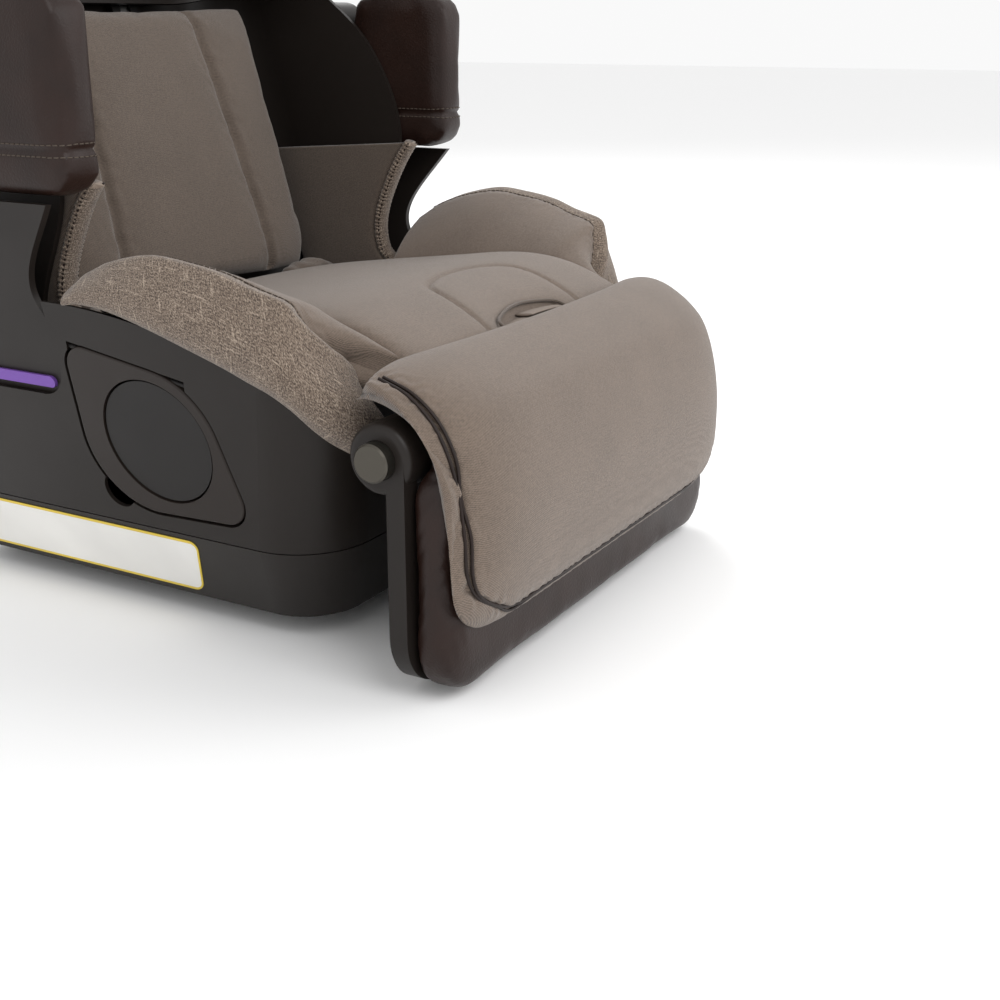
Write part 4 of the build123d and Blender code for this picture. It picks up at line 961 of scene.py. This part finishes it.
# ------------------------------------------------------------------ back
def build_back(settings):
    rear = copy_of("back_cushion", "back_cushion_knit", MATERIALS["knit_back"], 3.0)
    puff(rear, 0.006, 4.0)
    finish_piece(rear, "seat", ["back_cushion"])
    half, low, high = 143.0, -3.0, 222.0
    a, b = eased(110), eased(110)
    grid_a, grid_b = np.meshgrid(a, b)
    shape = edge_shape(grid_a, grid_b, 5)
    width = half - 16 * np.clip((low + 40 - (low + high) / 2 - grid_b * (high - low) / 2) / 40, 0, 1) ** 2
    x = grid_a * width
    up = (low + high) / 2 + grid_b * (high - low) / 2
    seam_x = settings.seam_spacing / 2 / MM
    out = -9 + 13 * shape
    front = np.array([[back_point(x[i, j], up[i, j], out[i, j]) for j in range(110)] for i in range(110)])
    rear_face = np.array([[back_point(x[i, j] * 0.99, up[i, j], -9 - 6 * shape[i, j]) for j in range(110)]
                          for i in range(110)])
    insert = slab("back_insert_knit", front, rear_face, MATERIALS["knit_back"])
    puff(insert, 0.004, settings.swell / MM)
    lines = [np.array([back_point(side * (seam_x + 10 - 0.08 * u), u, 5) for u in range(0, 226, 6)])
             for side in (-1, 1)]
    sink_seams(insert, lines, 5.0, 3.6, BACK_OUT)
    wrinkle(insert, lines, 12.0, 0.4, 14.0, 0.2)
    finish_piece(insert, "seat", ["back_insert"])
    for side, mark in (("right", -1), ("left", 1)):
        fold = []
        for t in np.linspace(0, 1, 30):
            x = mark * (92 + 62 * t)
            y = 66 - 4 * math.sin(t * math.pi) + 8 * t
            z = cushion_height(x, y) - 1 + 5 * math.sin(t * math.pi)
            ring = [(x, y + 9 * math.cos(k), z + 6.5 * math.sin(k) * (1 - 0.4 * t))
                    for k in np.linspace(0, 2 * math.pi, 18, endpoint=False)]
            fold.append(ring)
        piece = loft(f"crease_fold_{side}", rounded_ends(fold, 5.0), MATERIALS["knit_back"])
        wrinkle(piece, [np.array(fold).mean(axis=1)], 14.0, 0.9, 17.0, 0.9)
        finish_piece(piece, "seat", ())


# ------------------------------------------------------------------ side walls
SIDE_FRONT = ((6, 300), (16, 286), (27, 266), (36, 244), (39, 226), (36, 209), (28, 199), (26, 186))


def build_side_pads(settings):
    for side, turn in (("right", lambda p: np.asarray(p)), ("left", mirrored)):
        front = through(SIDE_FRONT, 90)
        rear = through(((150, 290), (142, 262), (132, 230), (124, 205), (118, 186)), 90)
        t = np.linspace(0, 1, 60)
        rings = []
        for f, r in zip(front, rear):
            line = f[None, :] * (1 - t)[:, None] + r[None, :] * t[:, None]
            body = edge_shape(np.linspace(-1, 1, 60), np.zeros(60), 6)
            inner = np.column_stack([-(184 - 8.5 * body), line])
            outer = np.column_stack([-(184 + 6.5 * body), line])[::-1]
            rings.append(np.vstack([inner, outer]))
        pad = loft(f"side_pad_{side}_knit", turn(rings), MATERIALS["knit_back"], fan_ends=False)
        finish_piece(pad, "seat", [f"side_pad_{side}"])
        ruffle = []
        count = 260
        path = through(SIDE_FRONT, count) + np.array((-3.0, 0.0))
        tangent = np.gradient(path, axis=0)
        tangent /= np.linalg.norm(tangent, axis=1)[:, None]
        wide = settings.strip / MM / 2
        for i, (p, d) in enumerate(zip(path, tangent)):
            normal = np.array((-d[1], d[0]))
            pleat = 1 + 0.07 * math.sin(i * 0.9 + 0.9 * math.sin(i * 0.23))
            ring = []
            for k in np.linspace(0, 2 * math.pi, 16, endpoint=False):
                across = math.cos(k) * wide * 0.55
                out = math.sin(k) * wide * pleat
                y, z = p + normal * across
                ring.append((-(184 + out), y, z))
            ruffle.append(ring)
        strip = loft(f"side_strip_{side}", turn(ruffle), MATERIALS["linen"])
        finish_piece(strip, "seat", ())
        seams = []
        for depth in (-wide * 0.82, wide * 0.82):
            seams.append(np.column_stack([np.full(count, -(184 + depth)), path[:, 0] - 1.6, path[:, 1]]))
        row = along_line(f"side_strip_seams_{side}", [turn(line) for line in seams], "cord",
                         radius=0.0008, material=MATERIALS["piping"])
        finish_piece(row, "seat")


# ------------------------------------------------------------------ torso wings
def build_wings(settings):
    for side in ("right", "left"):
        pad = copy_of(f"wing_pad_{side}", f"wing_{side}_leather", MATERIALS["leather"], 2.5)
        puff(pad, 0.004, settings.swell / MM)
        low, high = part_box(f"wing_pad_{side}")
        y0, y1 = low[1] / MM, high[1] / MM
        x0, x1 = low[0] / MM, high[0] / MM
        seam_z = low[2] / MM + settings.seam_height / MM
        loop = [(x0 - 1, y1 - 8, seam_z), (x0 - 0.5, y0 + 12, seam_z), (x0 + 9, y0 - 0.5, seam_z),
                (x1 - 9, y0 - 0.5, seam_z), (x1 + 0.5, y0 + 12, seam_z), (x1 + 1, y1 - 8, seam_z)]
        line = through(np.array(loop, float), 90)
        sink_seams(pad, [line], 2.0, 1.8)
        finish_piece(pad, "seat", [f"wing_pad_{side}"])
        rows = []
        for shift in (-3.0, 3.0):
            rows.append(line + np.array((0, 0, shift)))
        deps = bpy.context.evaluated_depsgraph_get()
        surface = pad.evaluated_get(deps)
        placed = []
        for row in rows:
            hits = []
            for p in row:
                spot, normal = surface.closest_point_on_mesh(Vector(p * MM))[1:3]
                hits.append(np.array(spot + normal * 0.0002) / MM)
            placed.append(np.array(hits))
        stitches = along_line(f"wing_stitches_{side}", placed, "stitches", pitch=0.0042, radius=0.00045,
                              length=0.003, material=MATERIALS["thread"])
        finish_piece(stitches, "seat")


# ------------------------------------------------------------------ headrest
def build_headrest(settings):
    pad = copy_of("head_pad", "head_pad_knit", MATERIALS["knit"], 3.0)
    puff(pad, 0.005, settings.swell / MM)
    lines = [np.array([back_point(x, u, -22) for u in range(244, 428, 6)]) for x in (-58, 58)]
    sink_seams(pad, lines, 4.0, 3.5, BACK_OUT)
    finish_piece(pad, "headrest", ["head_pad"])
    for side in ("right", "left"):
        wing = copy_of(f"head_wing_pad_{side}", f"head_wing_{side}_linen", MATERIALS["linen_object"], 2.5)
        puff(wing, 0.005, settings.swell / MM)
        finish_piece(wing, "headrest", [f"head_wing_pad_{side}"])


# ------------------------------------------------------------------ label
def rounded_plate(name, y_range, z_range, corner, out, thick, material):
    """Thin closed plate with rounded corners on the lower band's side face."""
    lean = (JOINT_HALF_WIDTH - FOOT_HALF_WIDTH) / (JOINT_Z - FOOT_Z)
    slant = 0.34
    face_x = lambda z: -(FOOT_HALF_WIDTH + (z - FOOT_Z) * lean)
    (y0, y1), (z0, z1) = y_range, z_range
    loop = []
    for cy, cz, start in ((y1 - corner, z1 - corner, 0), (y0 + corner, z1 - corner, 90),
                          (y0 + corner, z0 + corner, 180), (y1 - corner, z0 + corner, 270)):
        for turn in np.linspace(start, start + 90, 9):
            a = math.radians(turn)
            z = cz + corner * math.sin(a)
            loop.append((cy + corner * math.cos(a) + slant * (z1 - z), z))
    count = len(loop)
    verts = [(face_x(z) - depth, y, z) for depth in (out + thick, out) for y, z in loop]
    faces = [list(range(count)), list(range(2 * count - 1, count - 1, -1))]
    faces += [[i, (i + 1) % count, count + (i + 1) % count, count + i] for i in range(count)]
    plate = new_piece(name, verts, faces, material)
    plate.data.shade_flat()
    return plate


def build_label(settings):
    """Blank label: a white film with an even margin inside a coloured border."""
    y_range, z_range = (-63.0, 162.0), (22.0, 67.5)
    width = settings.border / MM
    edge = rounded_plate("label_border", y_range, z_range, settings.corner / MM, 0.1, 0.5,
                         MATERIALS["label_edge"])
    finish_piece(edge, "seat", ["care_label"])
    inside = [(low + width, high - width) for low, high in (y_range, z_range)]
    film = rounded_plate("label_face", inside[0], inside[1], settings.corner / MM - width, 0.58, 0.15,
                         MATERIALS["label"])
    finish_piece(film, "seat")


# ------------------------------------------------------------------ stage
def build_stage(settings):
    scene = bpy.context.scene
    floor_mesh = bpy.data.meshes.new("floor")
    size = 12.0
    floor_mesh.from_pydata([(-size, -size, 0), (size, -size, 0), (size, size, 0), (-size, size, 0)],
                           [], [(0, 1, 2, 3)])
    floor = bpy.data.objects.new("floor", floor_mesh)
    scene.collection.objects.link(floor)
    pale = Shader("studio_floor", (0.93, 0.93, 0.93), 0.9)
    floor_mesh.materials.append(pale.material)
    world = bpy.data.worlds.new("studio")
    world.use_nodes = True
    world.node_tree.nodes["Background"].inputs["Color"].default_value = (1, 1, 1, 1)
    world.node_tree.nodes["Background"].inputs["Strength"].default_value = settings.ambient
    scene.world = world
    lamps = (("key", (-0.9, -1.9, 2.2), 1.5, settings.key_power), ("fill", (-2.4, 0.2, 1.1), 1.6, 4.0),
             ("rim", (1.6, 1.2, 2.1), 1.2, 30.0), ("front", (1.2, -2.2, 1.2), 1.4, 16.0))
    for name, spot, width, power in lamps:
        light = bpy.data.lights.new(name, "AREA")
        light.size = width
        light.energy = power
        lamp = bpy.data.objects.new(name, light)
        lamp.location = spot
        lamp.rotation_euler = (Vector((0, -0.05, 0.2)) - Vector(spot)).to_track_quat("-Z", "Y").to_euler()
        scene.collection.objects.link(lamp)
    camera_data = bpy.data.cameras.new("camera")
    camera_data.lens = settings.lens
    camera_data.sensor_width = 36
    camera_data.clip_start = 0.02
    camera = bpy.data.objects.new("camera", camera_data)
    camera.location = (-0.85194, -0.68003, 0.39864)
    aim = Vector((0.8209, 0.4718, -0.3216))
    camera.rotation_euler = aim.to_track_quat("-Z", "Y").to_euler()
    scene.collection.objects.link(camera)
    scene.camera = camera
    scene.view_settings.view_transform = "Standard"


# ------------------------------------------------------------------ add-on
def length(name, default, description):
    return bpy.props.FloatProperty(name=name, default=default, description=description, unit="LENGTH",
                                   subtype="DISTANCE", min=0.0)


class BolsterSettings(bpy.types.PropertyGroup):
    ridge_inset: length("Ridge inset", 0.017, "How far the ridge lies inside the shell's side")
    bulge: length("Bulge", 0.006, "How far the padding swells past the shell")


class CushionSettings(bpy.types.PropertyGroup):
    width: length("Width", 0.300, "Width of the seat cushion")
    swell: length("Swell", 0.005, "Most that the filling may swell")


class FlapSettings(bpy.types.PropertyGroup):
    width: length("Width", 0.404, "Width of the flap")
    border: length("Border", 0.010, "Width of the border outside the piping")
    piping: length("Piping radius", 0.0011, "Radius of each piping cord")


class CalfSettings(bpy.types.PropertyGroup):
    swell: length("Swell", 0.0025, "Most that the filling may swell")


class BackSettings(bpy.types.PropertyGroup):
    seam_spacing: length("Seam spacing", 0.150, "Distance between the back's two seams")
    swell: length("Swell", 0.006, "Most that the filling may swell")


class SideSettings(bpy.types.PropertyGroup):
    strip: length("Strip width", 0.016, "Width of the gathered strip")


class WingSettings(bpy.types.PropertyGroup):
    swell: length("Swell", 0.003, "Most that the filling may swell")
    seam_height: length("Seam height", 0.030, "Height of the stitched seam over the wing's foot")


class HeadrestSettings(bpy.types.PropertyGroup):
    swell: length("Swell", 0.006, "Most that the filling may swell")


class LabelSettings(bpy.types.PropertyGroup):
    border: length("Border", 0.0022, "Width of the label's coloured border")
    corner: length("Corner", 0.008, "Radius of the label's corners")


class StageSettings(bpy.types.PropertyGroup):
    ambient: bpy.props.FloatProperty(name="Ambient", default=0.95, description="Strength of the sky light")
    key_power: bpy.props.FloatProperty(name="Key", default=26.0, description="Power of the key light",
                                       subtype="POWER", unit="POWER")
    lens: bpy.props.FloatProperty(name="Lens", default=50.79, description="Focal length in mm")


class HardPartsOperator(bpy.types.Operator):
    """Give the plastic, metal and rubber parts their finishes"""
    bl_idname = "carseat.hard_parts"
    bl_label = "Hard parts"

    def execute(self, context):
        paint_hard_parts()
        return {"FINISHED"}


class BolsterOperator(bpy.types.Operator):
    """Build both side bolsters"""
    bl_idname = "carseat.bolsters"
    bl_label = "Bolsters"

    def execute(self, context):
        build_bolsters(context.scene.carseat_bolsters)
        return {"FINISHED"}


class CushionOperator(bpy.types.Operator):
    """Build the seat cushion and its strap slot"""
    bl_idname = "carseat.cushion"
    bl_label = "Seat cushion"

    def execute(self, context):
        build_cushion(context.scene.carseat_cushion)
        return {"FINISHED"}


class FlapOperator(bpy.types.Operator):
    """Build the flap that runs over the calf support"""
    bl_idname = "carseat.flap"
    bl_label = "Flap"

    def execute(self, context):
        build_flap(context.scene.carseat_flap)
        return {"FINISHED"}


class CalfOperator(bpy.types.Operator):
    """Build the calf support's pad"""
    bl_idname = "carseat.calf_pad"
    bl_label = "Calf pad"

    def execute(self, context):
        build_calf_pad(context.scene.carseat_calf)
        return {"FINISHED"}


class BackOperator(bpy.types.Operator):
    """Build the back cushions"""
    bl_idname = "carseat.back"
    bl_label = "Back"

    def execute(self, context):
        build_back(context.scene.carseat_back)
        return {"FINISHED"}


class SideOperator(bpy.types.Operator):
    """Build the side wall pads with their gathered strips"""
    bl_idname = "carseat.side_pads"
    bl_label = "Side pads"

    def execute(self, context):
        build_side_pads(context.scene.carseat_sides)
        return {"FINISHED"}


class WingOperator(bpy.types.Operator):
    """Build the torso wings"""
    bl_idname = "carseat.wings"
    bl_label = "Wings"

    def execute(self, context):
        build_wings(context.scene.carseat_wings)
        return {"FINISHED"}


class HeadrestOperator(bpy.types.Operator):
    """Build the headrest's pads"""
    bl_idname = "carseat.headrest"
    bl_label = "Headrest"

    def execute(self, context):
        build_headrest(context.scene.carseat_headrest)
        return {"FINISHED"}


class LabelOperator(bpy.types.Operator):
    """Add the blank label's border"""
    bl_idname = "carseat.label"
    bl_label = "Label"

    def execute(self, context):
        build_label(context.scene.carseat_label)
        return {"FINISHED"}


class StageOperator(bpy.types.Operator):
    """Set the floor, lights and camera"""
    bl_idname = "carseat.stage"
    bl_label = "Stage"

    def execute(self, context):
        build_stage(context.scene.carseat_stage)
        return {"FINISHED"}


SETTINGS = {
    "carseat_bolsters": BolsterSettings,
    "carseat_cushion": CushionSettings,
    "carseat_flap": FlapSettings,
    "carseat_calf": CalfSettings,
    "carseat_back": BackSettings,
    "carseat_sides": SideSettings,
    "carseat_wings": WingSettings,
    "carseat_headrest": HeadrestSettings,
    "carseat_label": LabelSettings,
    "carseat_stage": StageSettings,
}
OPERATORS = (HardPartsOperator, BolsterOperator, CushionOperator, FlapOperator, CalfOperator, BackOperator,
             SideOperator, WingOperator, HeadrestOperator, LabelOperator, StageOperator)


class CarSeatPanel(bpy.types.Panel):
    """Sizes and build buttons of the car seat"""
    bl_idname = "VIEW3D_PT_carseat"
    bl_label = "Car seat"
    bl_space_type = "VIEW_3D"
    bl_region_type = "UI"
    bl_category = "Car seat"

    def draw(self, context):
        for operator in OPERATORS:
            self.layout.operator(operator.bl_idname)
        for name in SETTINGS:
            group = getattr(context.scene, name)
            box = self.layout.box()
            for key in group.__annotations__:
                box.prop(group, key)


def register():
    for kind in (*SETTINGS.values(), *OPERATORS, CarSeatPanel):
        bpy.utils.register_class(kind)
    for name, kind in SETTINGS.items():
        setattr(bpy.types.Scene, name, bpy.props.PointerProperty(type=kind))


def unregister():
    for name in SETTINGS:
        delattr(bpy.types.Scene, name)
    for kind in (CarSeatPanel, *reversed(OPERATORS), *reversed(SETTINGS.values())):
        bpy.utils.unregister_class(kind)


def main():
    register()
    bpy.ops.carseat.hard_parts()
    bpy.ops.carseat.bolsters()
    bpy.ops.carseat.cushion()
    bpy.ops.carseat.flap()
    bpy.ops.carseat.calf_pad()
    bpy.ops.carseat.back()
    bpy.ops.carseat.side_pads()
    bpy.ops.carseat.wings()
    bpy.ops.carseat.headrest()
    bpy.ops.carseat.label()
    bpy.ops.carseat.stage()


if __name__ == "__main__":
    main()
